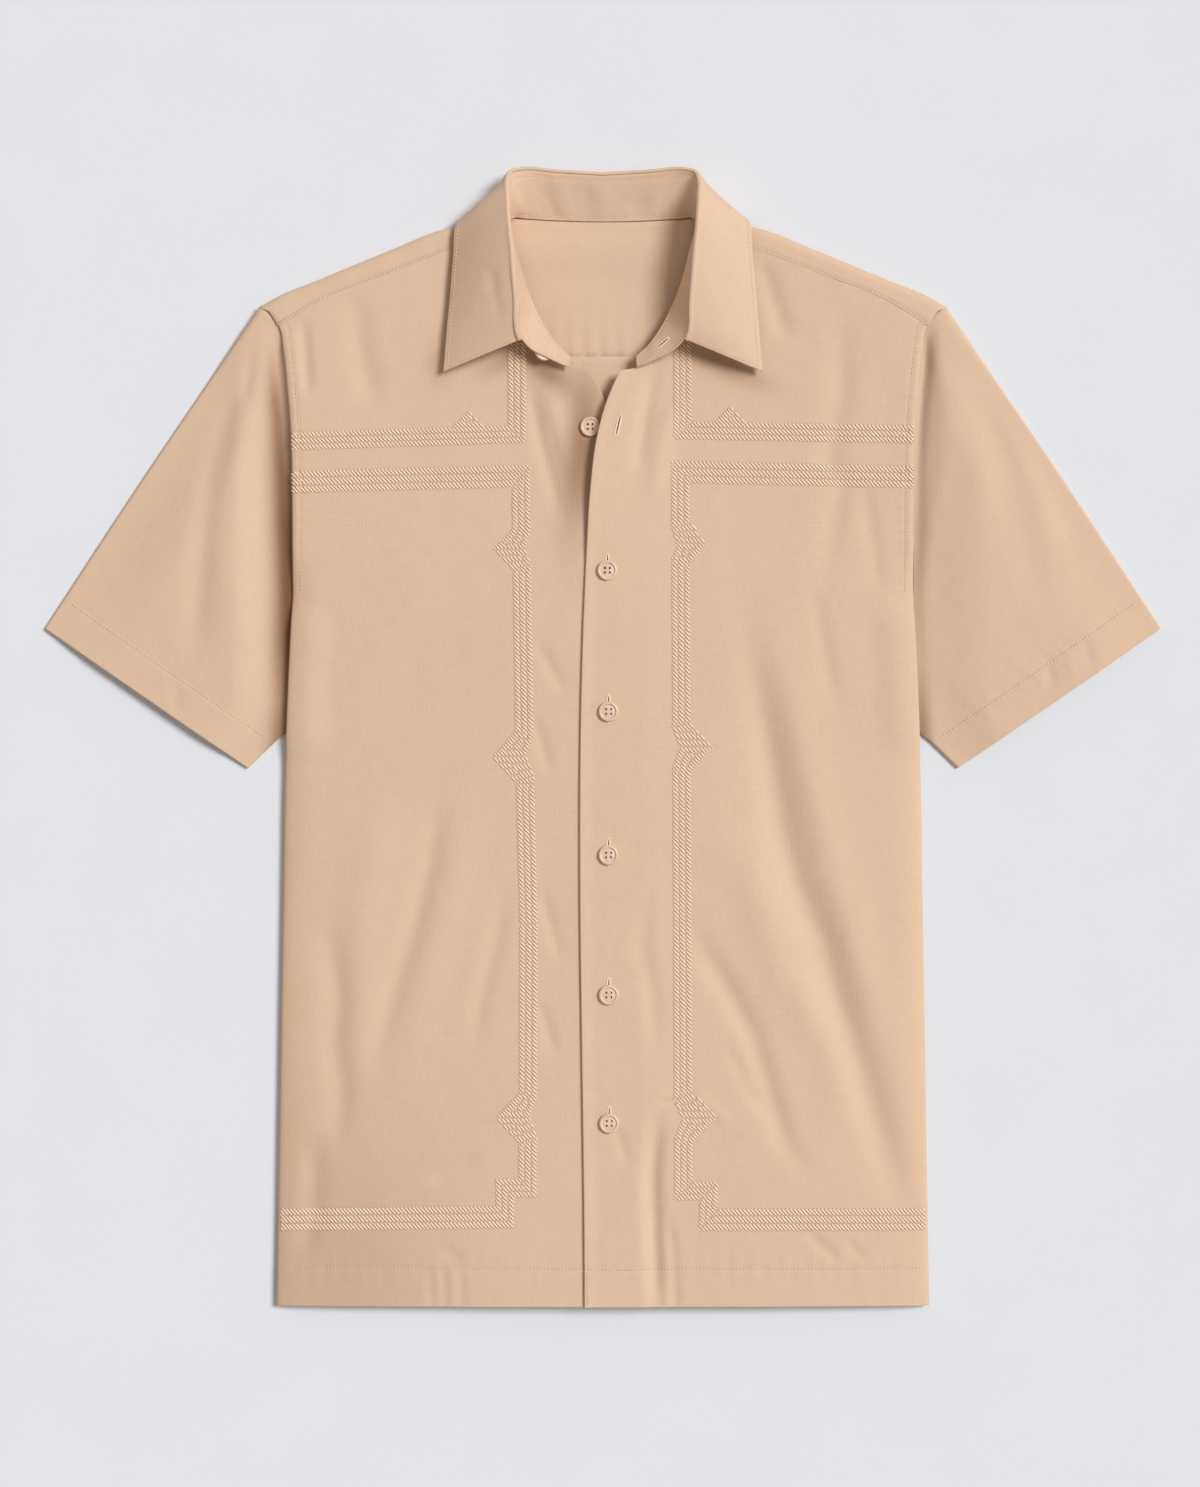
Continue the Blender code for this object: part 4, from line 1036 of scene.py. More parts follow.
def make_yoke(name, thick, material):
    """The yoke: flat under the back of the neck, folded forward along each shoulder.

    Each section runs from the back seam, round a half circle at the fold, to the front seam.
    Between the neck's sides it ends at the neckline, so the columns there stop early.
    """
    flat_rows, turn_rows, front_rows, side_columns, centre_columns = 22, 14, 9, 60, 45
    turn = np.linspace(-np.pi / 2, np.pi / 2, turn_rows + 1)[1:]
    seam_share = np.concatenate([np.linspace(0, 0.78, front_rows - 3)[1:], [0.82, 0.87, 0.93, 1.0]])
    rows = flat_rows + turn_rows + front_rows
    neck_x = np.concatenate([
        np.full(flat_rows, NECK_HALF_WIDTH),
        np.interp(turn, [-1.57, -0.7, 0.4, 1.57], [62.0, 66.0, 69.0, 69.4]),
        69.4 + (66.4 - 69.4) * seam_share,
    ])
    reach = 7.0
    arm_drop = np.concatenate([
        np.linspace(YOKE_SEAM_DROP, 104.2, flat_rows),
        97.6 + 6.6 * (1 - np.cos(turn)),
        104.2 + (FRONT_SEAM[-1].drop - 104.2) * seam_share,
    ])
    arm_x = half_width_at(ARM_LINE, arm_drop) + 0.5
    x = neck_x[:, None] + (arm_x - neck_x)[:, None] * np.linspace(0, 1, side_columns)
    crest = drop_at(SHOULDER, x)
    base = 1.8 * (1 - ramp(x, 92, 112))
    top = 9.9
    along = np.linspace(0, 1, flat_rows)[:, None]
    drop, z = np.empty_like(x), np.empty_like(x)
    flat, bent, fore = np.split(np.arange(rows), [flat_rows, flat_rows + turn_rows])
    back_seam = YOKE_SEAM_DROP - SEAM_GAP
    drop[flat] = back_seam + (crest[flat] + reach - back_seam) * along
    z[flat] = base[flat] * (1 - ramp(drop[flat], 60, 80))
    drop[bent] = crest[bent] + reach * (1 - np.cos(turn[:, None]))
    z[bent] = base[bent] + (top - base[bent]) * (1 + np.sin(turn[:, None])) / 2
    seam_drop = drop_at(FRONT_SEAM, x[-1]) - 2 * SEAM_GAP
    seam_z = front_height(x[-1], seam_drop) + 0.15
    drop[fore] = drop[bent[-1]] + (seam_drop - drop[bent[-1]]) * seam_share[:, None]
    z[fore] = top + (seam_z - top) * seam_share[:, None]
    sides = []
    for side in (-1, 1):
        half = np.stack([side * x, drop, z], axis=2)
        seam_z_side = front_height(side * x[-1], seam_drop) + 0.15
        half[fore, :, 2] = top + (seam_z_side - top) * seam_share[:, None]
        dent = 0.35 * bell((1 - seam_share) * 13.0 - SEAM_STITCH_IN, 1.0)
        half[fore, :, 2] -= dent[:, None] * ramp(seam_share, 0.3, 0.6)[:, None]
        upper = ramp(z, 5, 9)
        half[..., 2] += upper * 0.25 * ripples(half[..., 0], half[..., 1], (14.0, 20.0), 52)
        sides.append(half)
    right, left = sides[0][:, ::-1], sides[1]

    across = np.linspace(-1, 1, centre_columns + 2)[1:-1]
    centre = np.full((rows, centre_columns, 3), np.nan)
    neckline = BACK_NECK_DROP + (left[flat_rows - 1, 0, 1] - BACK_NECK_DROP) * across**2
    centre[flat, :, 0] = across * left[flat, 0, 0][:, None]
    centre[flat, :, 1] = back_seam + (neckline - back_seam) * along
    centre[flat, :, 2] = 1.8 * (1 - ramp(centre[flat, :, 1], 60, 80))
    outer = np.concatenate([right, centre, left], axis=1)
    gathers = 0.9 * (1 + puckers(outer[..., 0], outer[..., 1] - YOKE_SEAM_DROP, 12.0, 22.0, 43))
    soft = 0.3 * (1 + ripples(outer[..., 0], outer[..., 1], (21.0, 40.0), 47))
    lies_flat = np.arange(rows)[:, None] < flat_rows - 3
    inner_x = 1 - ramp(np.abs(outer[..., 0]), 60, 90)
    outer[..., 2] += np.where(lies_flat, (gathers + soft) * inner_x, 0.0)
    present = ~np.isnan(outer[..., 0])
    filled = np.where(present[..., None], outer, 0.0)
    found = np.zeros_like(outer)
    for columns in (slice(0, side_columns), slice(side_columns + centre_columns, None)):
        found[:, columns] = normals(outer[:, columns], upright=True)
    middle = slice(side_columns - 1, side_columns + centre_columns + 1)
    found[:flat_rows, middle] = normals(outer[:flat_rows, middle], upright=True)
    found = found * np.sign(found[1, :, 2].mean())
    # Painted shade along the yoke's front seam
    shade = np.zeros(present.shape)
    shade[np.argmin(np.abs((1 - seam_share) * 13.0 - SEAM_STITCH_IN)) + fore[0]] = YOKE_SEAM_SHADE
    return cloth_wall(
        name, filled, filled + thick * found, material, grid_weave(outer), present=present, shade=shade
    ), left[fore], right[fore][:, ::-1]


def cuff_distance(x, drop):
    """How far a point of a sleeve is in from the line of its cuff."""
    (x0, drop0), (x1, drop1) = SLEEVE_TOP[-1], SLEEVE_UNDER[-1]
    run = np.array([x1 - x0, drop1 - drop0])
    run = run / np.linalg.norm(run)
    return np.abs((x - x0) * run[1] - (drop - drop0) * run[0])


def sleeve_rise(side, u, d, width, x, drop, level):
    """How far the sleeve's upper layer stands above its folds: crown, seam, creases and hem."""
    from_top, from_under = d, width - d
    away = x - body_half_width(drop)
    crown = SLEEVE_CROWN[side] + (CUFF_CROWN - SLEEVE_CROWN[side]) * ramp(u, 0.45, 1.0)
    valley_at, valley_width, swell_start, swell_end = ARM_VALLEY[side]
    swell = crown * ramp(from_top, -2, 56) * ramp(from_under, 3, 44) * ramp(away, swell_start, swell_end)
    valley = (VALLEY_FLOOR - level) * bell(away - valley_at, valley_width) * ramp(from_top, 8, 40)
    free = ramp(from_under, 4, 30) * ramp(from_top, 3, 22)
    folds = crease_height(SLEEVE_CREASES[side], x, drop) * free * ramp(away, 6, 22)
    relief = cloth_relief(side * x, drop) * free
    in_cuff = cuff_distance(x, drop) - CUFF_HEM_DEPTH
    band = HEM_CLOTH * (1 - ramp(in_cuff, -1.0, 1.0)) - 0.3 * bell(in_cuff, 1.1)
    gathers = 0.22 * puckers(drop - 0.6 * x, in_cuff, 11.0, 11.0, 61)
    return swell + valley + folds + relief + (band + gathers) * free


def sleeve_rows():
    """Shares of the way from the armhole to the cuff, crowded at both ends and at the hem's stitching."""
    start = np.array([0, 0.004, 0.01, 0.018, 0.028])
    plain = np.linspace(0.04, 0.985, 84)
    return np.concatenate([start, plain, [0.991, 0.996, 1.0]])


def sleeve_face(side, out, depth):
    """The sleeve's rings at a depth inside its outer face.

    Seen from above, each point is a Coons blend between the armhole, the cuff and the two folds.
    Across its width the ring runs round a small arc at each fold, over the top and back below.
    """
    turn = np.radians([15, 32, 50, 70, 90])
    upper = np.linspace(0, 1, 74)[1:-1]
    lower = np.linspace(1, 0, 20)[1:-1]
    top, under = spline(SLEEVE_TOP, out), spline(SLEEVE_UNDER, out)
    width = np.linalg.norm(under - top, axis=1)[:, None]
    r_top = (SLEEVE_FOLD + (SHOULDER_FOLD - SLEEVE_FOLD) * (1 - ramp(out, 0.0, 0.3)))[:, None]
    r_under = np.full_like(r_top, SLEEVE_FOLD)
    top_in, under_in = r_top - depth, r_under - depth
    d_top = depth + top_in * (1 - np.cos(turn))
    d_under = width - depth - under_in * (1 - np.cos(turn))
    span = width - r_top - r_under
    one = np.ones_like(width)
    d = np.concatenate([
        depth * one, d_top, r_top + span * upper, d_under[:, ::-1],
        width - depth, d_under, r_top + span * lower, d_top[:, ::-1],
    ], axis=1)
    level = 2 * r_top + 2 * (r_under - r_top) * smooth(upper) - depth
    z = np.concatenate([
        r_top, r_top + top_in * np.sin(turn), level, (r_under + under_in * np.sin(turn))[:, ::-1],
        r_under, r_under - under_in * np.sin(turn), np.full((len(out), len(lower)), depth),
        (r_top - top_in * np.sin(turn))[:, ::-1],
    ], axis=1)
    is_upper = np.zeros(d.shape[1], bool)
    is_upper[1 : 1 + 2 * len(turn) + len(upper)] = True
    t = (d / width)[..., None]
    u = out[:, None, None]
    arm = spline(ARM_LINE, t[..., 0]) + [2 * SEAM_GAP, 0]
    cuff = top[-1] + (under[-1] - top[-1]) * t
    near = (1 - t) * top[0] + t * under[0]
    far = (1 - t) * top[-1] + t * under[-1]
    plan = (1 - u) * arm + u * cuff + (1 - t) * top[:, None] + t * under[:, None]
    plan = plan - (1 - u) * near - u * far
    x, drop = plan[..., 0], plan[..., 1]
    rise = sleeve_rise(side, out[:, None], d, width, x, drop, z + depth)
    z = z + np.where(is_upper, rise, 0)
    face = np.stack([side * x, drop, z], axis=2)
    tucked = face[:1] - ramp(face[:1, :, 2:], 3.0, 5.0) * [side * SEAM_TUCK, 0.0, 0.5]
    return np.concatenate([tucked, face]), is_upper


def make_sleeve(name, side, thick, material):
    """One sleeve: a tube laid flat, from the armhole seam out to the cuff."""
    out = sleeve_rows()
    outer, is_upper = sleeve_face(side, out, 0.0)
    inner, _ = sleeve_face(side, out, thick)
    weave = grid_weave(outer, around=True)
    # Painted shade: a warm dark band in the valley beside the armhole seam
    away = side * outer[..., 0] - body_half_width(outer[..., 1])
    at_drop, *shapes = np.transpose(VALLEY_SHADE[side])
    lies, wide, strength = (np.interp(outer[..., 1], at_drop, shape) for shape in shapes)
    painted_shade = strength * bell(np.maximum(away, 0) - lies, wide) * is_upper
    made = cloth_wall(name, outer, inner, material, weave, around=True, painted_shade=painted_shade)
    return made, outer[:, is_upper]


def hem_run(side, upper_face):
    """The line of stitches round a cuff: where each ring of the sleeve is one hem's depth in."""
    away = cuff_distance(side * upper_face[..., 0], upper_face[..., 1])
    inner = np.arange(6, upper_face.shape[1] - 6)
    line = []
    for column in inner:
        depth = away[::-1, column]
        line.append([np.interp(CUFF_HEM_DEPTH, depth, upper_face[::-1, column, k]) for k in range(3)])
    return np.array(line)


def collar_lines(at):
    """The stand's foot and top and the leaf's edge, at shares of the way to the front end."""
    on_edge = np.interp(at, [0.0, CORNER_AT, LEAF_ENDS_AT], [0.0, CORNER_ON_EDGE, 1.0])
    return spline(STAND_FOOT, at), spline(STAND_TOP, at), spline(LEAF_EDGE, on_edge)


def both_sides(half):
    """A grid from the middle of the back to the left front end, with its mirror image."""
    return np.concatenate([half[:, :0:-1] * [-1, 1, 1], half], axis=1)


def stand_middle(at, up):
    """The stand's middle surface: straight from foot to top, with its mirror image on the other side."""
    foot, top, _ = collar_lines(at)
    grid = foot + (top - foot) * up[:, None, None]
    return both_sides(grid)


def make_stand(name, thick, material):
    """The stand: a band round the neck, leaning out from its foot at the neck seam."""
    at = np.concatenate([np.linspace(0, 0.985, 110), [0.992, 0.997, 1.0]])
    low, high = STAND_STITCHES_AT
    up = np.concatenate([
        [0, 0.015, 0.045, low, 0.095], np.linspace(0.14, high - 0.04, 18),
        [high - 0.02, high, high + 0.02, 0.95, 0.98, 1.0],
    ])
    middle = stand_middle(at, up)
    found = normals(middle)
    inward = -np.sign((found[..., 1] * (middle[..., 1] - 75)).mean())
    found = found * inward
    share = up[:, None]
    body = np.sin(np.pi * share) ** 0.7
    along = np.sign(middle[..., 0]) * lengths_along(middle[-1, middle.shape[1] // 2 :])[
        np.abs(np.arange(middle.shape[1]) - middle.shape[1] // 2)
    ]
    waves = 1.7 * ripples(along, share * 30, (15.0, 46.0), 71)
    waves = waves + 0.3 * ripples(along, share * 30, (6.0, 9.0), 73)
    grooves = 0.3 * (bell((share - low) * 32, 1.0) + bell((share - high) * 32, 1.0))
    middle = middle + found * (waves * body - grooves)[..., None] * 0.8
    half_thick = found * thick / 2
    # Painted shade along the stand's two stitched lines
    shade = np.zeros(middle.shape[:2])
    for stitched in STAND_STITCHES_AT:
        shade[np.argmin(np.abs(up - stitched))] = SEAM_SHADE
    inner = middle + half_thick
    made = cloth_wall(name, inner, middle - half_thick, material, grid_weave(middle), shade=shade)
    return made, inner, found, up


def leaf_middle():
    """The leaf's middle surface: a small roll over the stand's top, then a fall to its free edge.

    Behind the neck the fall drops steeply and then lies flat. At the sides it bows a little.
    """
    end = LEAF_ENDS_AT
    last = end - np.array([0.016, 0.0125, 0.009, 0.0045, 0.0015, 0])
    at = np.concatenate([np.linspace(0, end - 0.022, 128), last])
    foot, top, edge = collar_lines(at)
    rise = unit(top - foot)
    out = unit(np.cross(rise, np.gradient(top, axis=0)))
    out = out * np.sign(out[len(out) // 2, 0])
    rolled = np.array([top + a * rise + b * out for a, b in LEAF_ROLL])
    start = rolled[-1]
    behind = (1 - ramp(edge[:, 2], 4, 13))[:, None]
    length = np.linalg.norm(edge - start, axis=1)

    def fall(t):
        made = start + (edge - start) * t[:, None]
        lying = edge[:, 2:] + (start[:, 2:] - edge[:, 2:]) * (1 - t[:, None]) ** 4
        belly = (1 - behind) * 1.6 * np.sin(np.pi * t[:, None])
        made[:, 2:] += behind * (lying - made[:, 2:]) + belly
        return made

    first = fall(np.full(len(at), 0.12))
    guide = np.concatenate([rolled, first[None]])
    along_roll = lengths_along(guide.mean(axis=1))
    places = np.linspace(0, along_roll[2], 9)
    sections = list(hermite(guide, along_roll, places))
    for share in np.linspace(0, 1, 30)[1:]:
        sections.append(fall(share * (1 - 5.0 / length)))
    for inset in (4.2, 3.6, EDGE_STITCH_IN, 2.4, 1.6, 0.7, 0.0):
        sections.append(fall(1 - inset / length))
    return both_sides(np.array(sections))


def make_leaf(name, thick, material):
    """The leaf of the collar, as a closed sheet round its middle surface."""
    middle = leaf_middle()
    found = normals(middle)
    found = found * np.sign(found[-10, 20, 2])
    rows = middle.shape[0]
    x, drop = middle[..., 0], middle[..., 1]
    free = ramp(np.arange(rows)[:, None], 10, 18) * ramp(middle[..., 2], 9, 15)
    relief = 0.35 * ripples(x, drop, (17.0, 30.0), 81) + 0.10 * ripples(x, drop, (6.0, 8.0), 83)
    dent = crease_height([Crease(5.0, -0.9, [(-78, 70), (-70, 112)])], x, drop)
    middle = middle + found * ((relief + dent) * free)[..., None]
    stitch_row = rows - 5
    # Painted shade along the leaf's stitched lines
    shade = np.zeros(middle.shape[:2])
    shade[stitch_row, 4:-4] = SEAM_SHADE
    shade[12:stitch_row, 3] = SEAM_SHADE
    shade[12:stitch_row, -4] = SEAM_SHADE
    upper = middle + found * thick / 2
    under = middle - found * thick / 2
    for face in (upper, under):
        face[..., 2] = np.maximum(face[..., 2], 0.0)
    made = cloth_wall(name, upper, under, material, grid_weave(middle), shade=shade)
    return made, upper, found, stitch_row


# Thread


STITCH_AROUND = np.radians([0, 90, 180, 270])
STITCH_SECTIONS = np.array([[-0.62, 0.86], [0.0, 1.0], [0.62, 0.86]])


def stitch_faces(count):
    """The faces of that many stitches: each has 3 rings of 4 points and a point at either end."""
    ring = np.arange(4)
    after = (ring + 1) % 4
    quads = np.concatenate([
        np.stack([base + ring, base + after, base + 4 + after, base + 4 + ring], axis=1) for base in (0, 4)
    ])
    tips = np.concatenate([
        np.stack([np.full(4, 12), after, ring], axis=1),
        np.stack([np.full(4, 13), 8 + ring, 8 + after], axis=1),
    ])
    starts = np.arange(count)[:, None, None] * 14
    return (quads + starts).reshape(-1, 4).tolist() + (tips + starts).reshape(-1, 3).tolist()


def stitch_points(centre, along, across, up, half, wide, tall):
    """Plump stitches: rings round a short line that bows up in its middle and dips at its tips.

    centre, along, across and up hold one vector for each stitch. half is half its length, wide
    half its width and tall half its height.
    """
    rows = []
    for place, size in STITCH_SECTIONS:
        middle = centre + along * place * half + up * tall * 0.5 * (1 - place**2)
        for angle in STITCH_AROUND:
            rows.append(middle + across * wide * size * np.cos(angle) + up * tall * size * np.sin(angle))
    for place in (-1.0, 1.0):
        rows.append(centre + along * place * half - up * tall * 0.3)
    return np.stack(rows, axis=1)


def run_of_stitches(line, up, pitch, length, wide, tall):
    """Even stitches along a line of points, with each one's middle on the line."""
    along = lengths_along(line)
    count = int(along[-1] // pitch)
    places = (np.arange(count) + 0.5) * along[-1] / count

    def read(rows, at):
        return np.stack([np.interp(at, along, rows[:, k]) for k in range(3)], axis=1)

    centre = read(line, places)
    ahead = unit(read(line, places + length / 2) - read(line, places - length / 2))
    rising = read(up, places)
    across = unit(np.cross(rising, ahead))
    return stitch_points(centre + rising * tall * 0.35, ahead, across, rising, length / 2, wide, tall)


def seam_run(line, sizes, up=(0.0, 0.0, 1.0)):
    """A run of seam stitches along a line of points, with their sizes from the settings."""
    pitch, length = sizes.seam_pitch / MM, sizes.seam_stitch / MM
    wide = sizes.seam_thread / MM / 2
    return run_of_stitches(line, np.broadcast_to(up, line.shape), pitch, length, wide, SEAM_TALL)


def thread_object(name, stitches, material):
    """All of a list of stitches as one closed-surfaced mesh."""
    points = to_metres(np.concatenate(stitches).reshape(-1, 3))
    faces = stitch_faces(len(points) // 14)
    return new_object(name, points, outward_each(points, faces), material, smooth_angle=None)


def outward_each(points, faces):
    """The faces of many like closed shapes, turned outwards by the first shape's volume."""
    one = [face for face in faces if max(face) < 14]
    return [face[::-1] for face in faces] if outward(points[:14], one) is not one else faces


# Embroidery


def border_path(runs, share=0.0):
    """The points of a border's line with each corner once, and each straight piece's width and kind.

    share runs from -1 to 1 across the border, and moves only the peaks' heights. The kind says
    whether a piece belongs to a peak.
    """
    points, wide, in_peak = [np.array(runs[0].start)], [], []
    for run in runs:
        start, end = np.array(run.start), np.array(run.end)
        ahead = (end - start) / np.linalg.norm(end - start)
        aside = np.array([ahead[1], -ahead[0]])
        for peak in run.peaks:
            height = peak.height - PEAK_GROWTH * abs(peak.height) * share
            points.append(start + ahead * (peak.at - peak.half))
            points.append(start + ahead * peak.at + aside * height)
            points.append(start + ahead * (peak.at + peak.half))
            in_peak += [False, True, True]
        points.append(end)
        in_peak.append(False)
        wide += [run.wide] * (3 * len(run.peaks) + 1)
    return np.array(points), np.array(wide), np.array(in_peak)


def beside(path, offset):
    """A path moved sideways by one offset for each straight piece, with its corners kept sharp.

    A corner moves to where its two moved pieces cross: with their normals n and m at an angle
    whose cosine is c, and offsets a and b, it moves by ((a - bc) n + (b - ac) m) / (1 - c^2).
    """
    ahead = unit(np.diff(path, axis=0))
    aside = np.stack([-ahead[:, 1], ahead[:, 0]], axis=1)
    n, m = np.concatenate([aside[:1], aside]), np.concatenate([aside, aside[-1:]])
    a, b = (np.concatenate(pair)[:, None] for pair in ((offset[:1], offset), (offset, offset[-1:])))
    c = (n * m).sum(axis=1, keepdims=True)
    turns = 1 - c**2 > 0.02
    crossing = ((a - b * c) * n + (b - a * c) * m) / np.where(turns, 1 - c**2, 1.0)
    return path + np.where(turns, crossing, (a + b) / 2 * n)


def slanting_rows(corners, slant, spacing, longest):
    """Stitches that fill a flat shape with straight edges, all with one slant.

    Rows lie a spacing apart. The shape cuts a length out of every row that crosses it, and a
    long length becomes several stitches. Each line of the result has a stitch's middle and length.
    """
    aside = np.array([slant[1], -slant[0]])
    level, place = corners @ aside, corners @ slant
    row = spacing * np.arange(np.ceil(level.min() / spacing), np.floor(level.max() / spacing) + 1)
    low, high = np.full(len(row), np.inf), np.full(len(row), -np.inf)
    for start, end, from_place, to_place in zip(level, np.roll(level, -1), place, np.roll(place, -1)):
        if abs(end - start) < 1e-9:
            continue
        share = (row - start) / (end - start)
        crossing = from_place + (to_place - from_place) * share
        crosses = (share >= 0) & (share <= 1)
        low = np.where(crosses, np.minimum(low, crossing), low)
        high = np.where(crosses, np.maximum(high, crossing), high)
    long_enough = high - low > 0.2 * longest
    row, low, high = row[long_enough], low[long_enough], high[long_enough]
    pieces = np.maximum(1, np.round((high - low) / longest)).astype(int)
    each = np.repeat(np.arange(len(row)), pieces)
    step = np.arange(pieces.sum()) - np.repeat(np.cumsum(pieces) - pieces, pieces)
    size = ((high - low) / pieces)[each]
    middle = low[each] + (step + 0.5) * size
    return np.column_stack([middle[:, None] * slant + row[each, None] * aside, size])


def border_shapes(side, track):
    """The flat shapes that stitches fill: pieces of the three tracks, whole peaks and the tooth."""
    shapes = []
    for runs in BORDER_RUNS[side]:
        lines = {}
        for edge in TRACK_EDGES + (-1.5, 1.5):
            path, wide, in_peak = border_path(runs, edge / 1.5)
            lines[edge] = beside(path, edge * track * wide)
        for i, whole in enumerate(in_peak):
            edges = (-1.5, 1.5) if whole else TRACK_EDGES
            for left, right in zip(edges[::2], edges[1::2]):
                shapes.append(np.array([*lines[left][i : i + 2], *lines[right][i : i + 2][::-1]]))
    x, base, half, height = BORDER_TOOTH[side]
    shapes.append(np.array([[x - half, base], [x, base - height], [x + half, base]]))
    return shapes


def border_stitches(side, sizes):
    """The border's slanting stitches, laid on the front's surface and leaning with it."""
    spacing, longest = sizes.border_pitch / MM, sizes.border_stitch / MM
    wide, tall = sizes.border_thread / MM / 2, BORDER_TALL
    slant = np.array(BORDER_SLANT)
    made = []
    for shape in border_shapes(side, sizes.track_width / MM):
        rows = slanting_rows(shape, slant, spacing, longest)
        uneven = np.random.default_rng(17).uniform(-1, 1, (len(rows), 4))
        x, drop = (rows[:, :2] + PLACE_JITTER * uneven[:, :2]).T
        step = 1.0
        rise_x = (front_top(side, x + step, drop) - front_top(side, x - step, drop)) / (2 * step)
        rise_drop = (front_top(side, x, drop + step) - front_top(side, x, drop - step)) / (2 * step)
        lean = unit(slant + SLANT_JITTER * uneven[:, 2:])
        rising = rise_x * lean[:, 0] + rise_drop * lean[:, 1]
        ahead = unit(np.column_stack([lean, rising]))
        up = unit(np.stack([-rise_x, -rise_drop, np.ones_like(x)], axis=1))
        centre = np.stack([x, drop, front_top(side, x, drop) + tall * 0.3], axis=1)
        half = 0.5 * rows[:, 2:]
        made.append(stitch_points(centre, ahead, np.cross(up, ahead), up, half, wide, tall))
    return made


# Buttons and buttonholes


def button_shape(radius, thick, finish):
    """A four-hole button: its profile turned about its middle, with four round holes cut through."""
    profile = np.array(BUTTON_PROFILE)
    flat = circle(56)[None] * profile[:, 0, None, None] * radius
    level = np.broadcast_to((profile[:, 1] * thick)[:, None, None], flat.shape[:2] + (1,))
    points, faces = solid_rings(np.concatenate([flat, level], axis=2))
    disc = new_object("button_disc", points, faces, finish)
    hole = circle(18) * BUTTON_HOLE_RADIUS
    corners = [np.array([sx, sy]) for sx in (-1, 1) for sy in (-1, 1)]
    cutters = [prism(hole + corner * BUTTON_HOLE_OFFSET, -1.0, thick + 1.0) for corner in corners]
    cutter = joined("button_holes", cutters, finish)
    cut = disc.modifiers.new("thread_holes", "BOOLEAN")
    cut.operation, cut.solver, cut.object = "DIFFERENCE", "EXACT", cutter
    graph = bpy.context.evaluated_depsgraph_get()
    mesh = bpy.data.meshes.new_from_object(disc.evaluated_get(graph))
    for helper in (disc, cutter):
        bpy.data.objects.remove(helper)
    shape = np.empty(len(mesh.vertices) * 3)
    mesh.vertices.foreach_get("co", shape)
    polygons = [list(polygon.vertices) for polygon in mesh.polygons]
    bpy.data.meshes.remove(mesh)
    return shape.reshape(-1, 3), polygons


def solid_rings(rings):
    """A capped solid from rings of points in millimetres, each ring a closed loop."""
    points = rings.reshape(-1, 3) * MM
    return points, outward_capped(points, ring_faces(*rings.shape[:2], capped=True))


def circle(count):
    """Points round a circle of radius 1."""
    angle = np.linspace(0, 2 * np.pi, count, endpoint=False)
    return np.stack([np.cos(angle), np.sin(angle)], axis=1)


def prism(outline, *heights):
    """A capped solid with one outline at each of its heights."""
    return solid_rings(np.stack([np.column_stack([outline, np.full(len(outline), z)]) for z in heights]))


def outward_capped(points, faces):
    """Faces turned outwards by the volume of the fans of all of them, caps included."""
    total = 0.0
    for face in faces:
        fan = points[face]
        total += np.einsum("ij,ij->i", np.cross(fan[1:-1] - fan[0], fan[2:] - fan[0]), fan[1:-1]).sum()
    return [face[::-1] for face in faces] if total < 0 else faces


def merged(parts):
    """The points and faces of several closed shapes, as those of one."""
    points, faces, start = [], [], 0
    for part_points, part_faces in parts:
        points.append(part_points)
        faces += [[index + start for index in face] for face in part_faces]
        start += len(part_points)
    return np.concatenate(points), faces


def joined(name, parts, material):
    """Several closed shapes as one object."""
    return new_object(name, *merged(parts), material)


def facing_axes(facing):
    """Two directions across a facing direction, and the direction itself, as the rows of a turn."""
    facing = unit(facing)
    side = unit(np.cross([0.0, 1.0, 0.0], facing))
    return np.stack([side, np.cross(facing, side), facing])


def thread_bars(thick):
    """The sewing that holds a button: two bars of thread, each down into a pair of holes.

    A bar has two strands side by side. Each lies just above the button's dish and dives at its ends.
    """
    t = np.linspace(-1, 1, 11)
    x = t * (BUTTON_HOLE_OFFSET - STRAND_END_IN)
    z = thick * BUTTON_PROFILE[-1][1] + STRAND_RISE - STRAND_DIVE * np.abs(t) ** 8
    section = circle(6) * STRAND_RADIUS
    parts = []
    for sy in (-1, 1):
        for strand in (-STRAND_OFFSET, STRAND_OFFSET):
            middle = [0.0, sy * BUTTON_HOLE_OFFSET + strand, 0.0]
            rings = np.insert(section, 0, 0.0, axis=1) + middle
            parts.append(solid_rings(rings + np.stack([x, 0 * x, z], axis=1)[:, None]))
    return parts


def hole_shadow_disc():
    """A low dark disc of painted shadow under a button, that shows through its holes."""
    radius = BUTTON_HOLE_OFFSET * np.sqrt(2) + BUTTON_HOLE_RADIUS
    return prism(radius * circle(24), -0.10, -0.02)


def laid_on_front(x, drop, lean):
    """How a place beside a buttonhole's middle lies on the left front: along, across and above it."""
    ahead = np.array([lean, 1.0]) / np.hypot(lean, 1.0)
    aside = np.array([ahead[1], -ahead[0]])

    def lay(along, across, above):
        plan = np.array([x, drop]) + along[..., None] * ahead + across[..., None] * aside
        height = front_top(1, plan[..., 0], plan[..., 1]) + above
        return np.concatenate([plan, height[..., None]], axis=-1)

    return lay


def laid_on_stand():
    """The same on the inner face of the stand's left end."""
    at, up = STAND_BUTTONHOLE
    foot, top, _ = collar_lines(at + np.array([-0.01, 0.0, 0.01]))
    line = foot + (top - foot) * up
    ahead = unit(line[2] - line[0])
    facing = unit(np.cross(ahead, top[1] - foot[1]))
    facing = facing * np.sign(facing[2])
    aside = np.cross(facing, ahead)

    def lay(along, across, above):
        flat = along[..., None] * ahead + across[..., None] * aside
        return line[1] + flat + (above[..., None] + STAND_BUTTONHOLE_OUT) * facing

    return lay


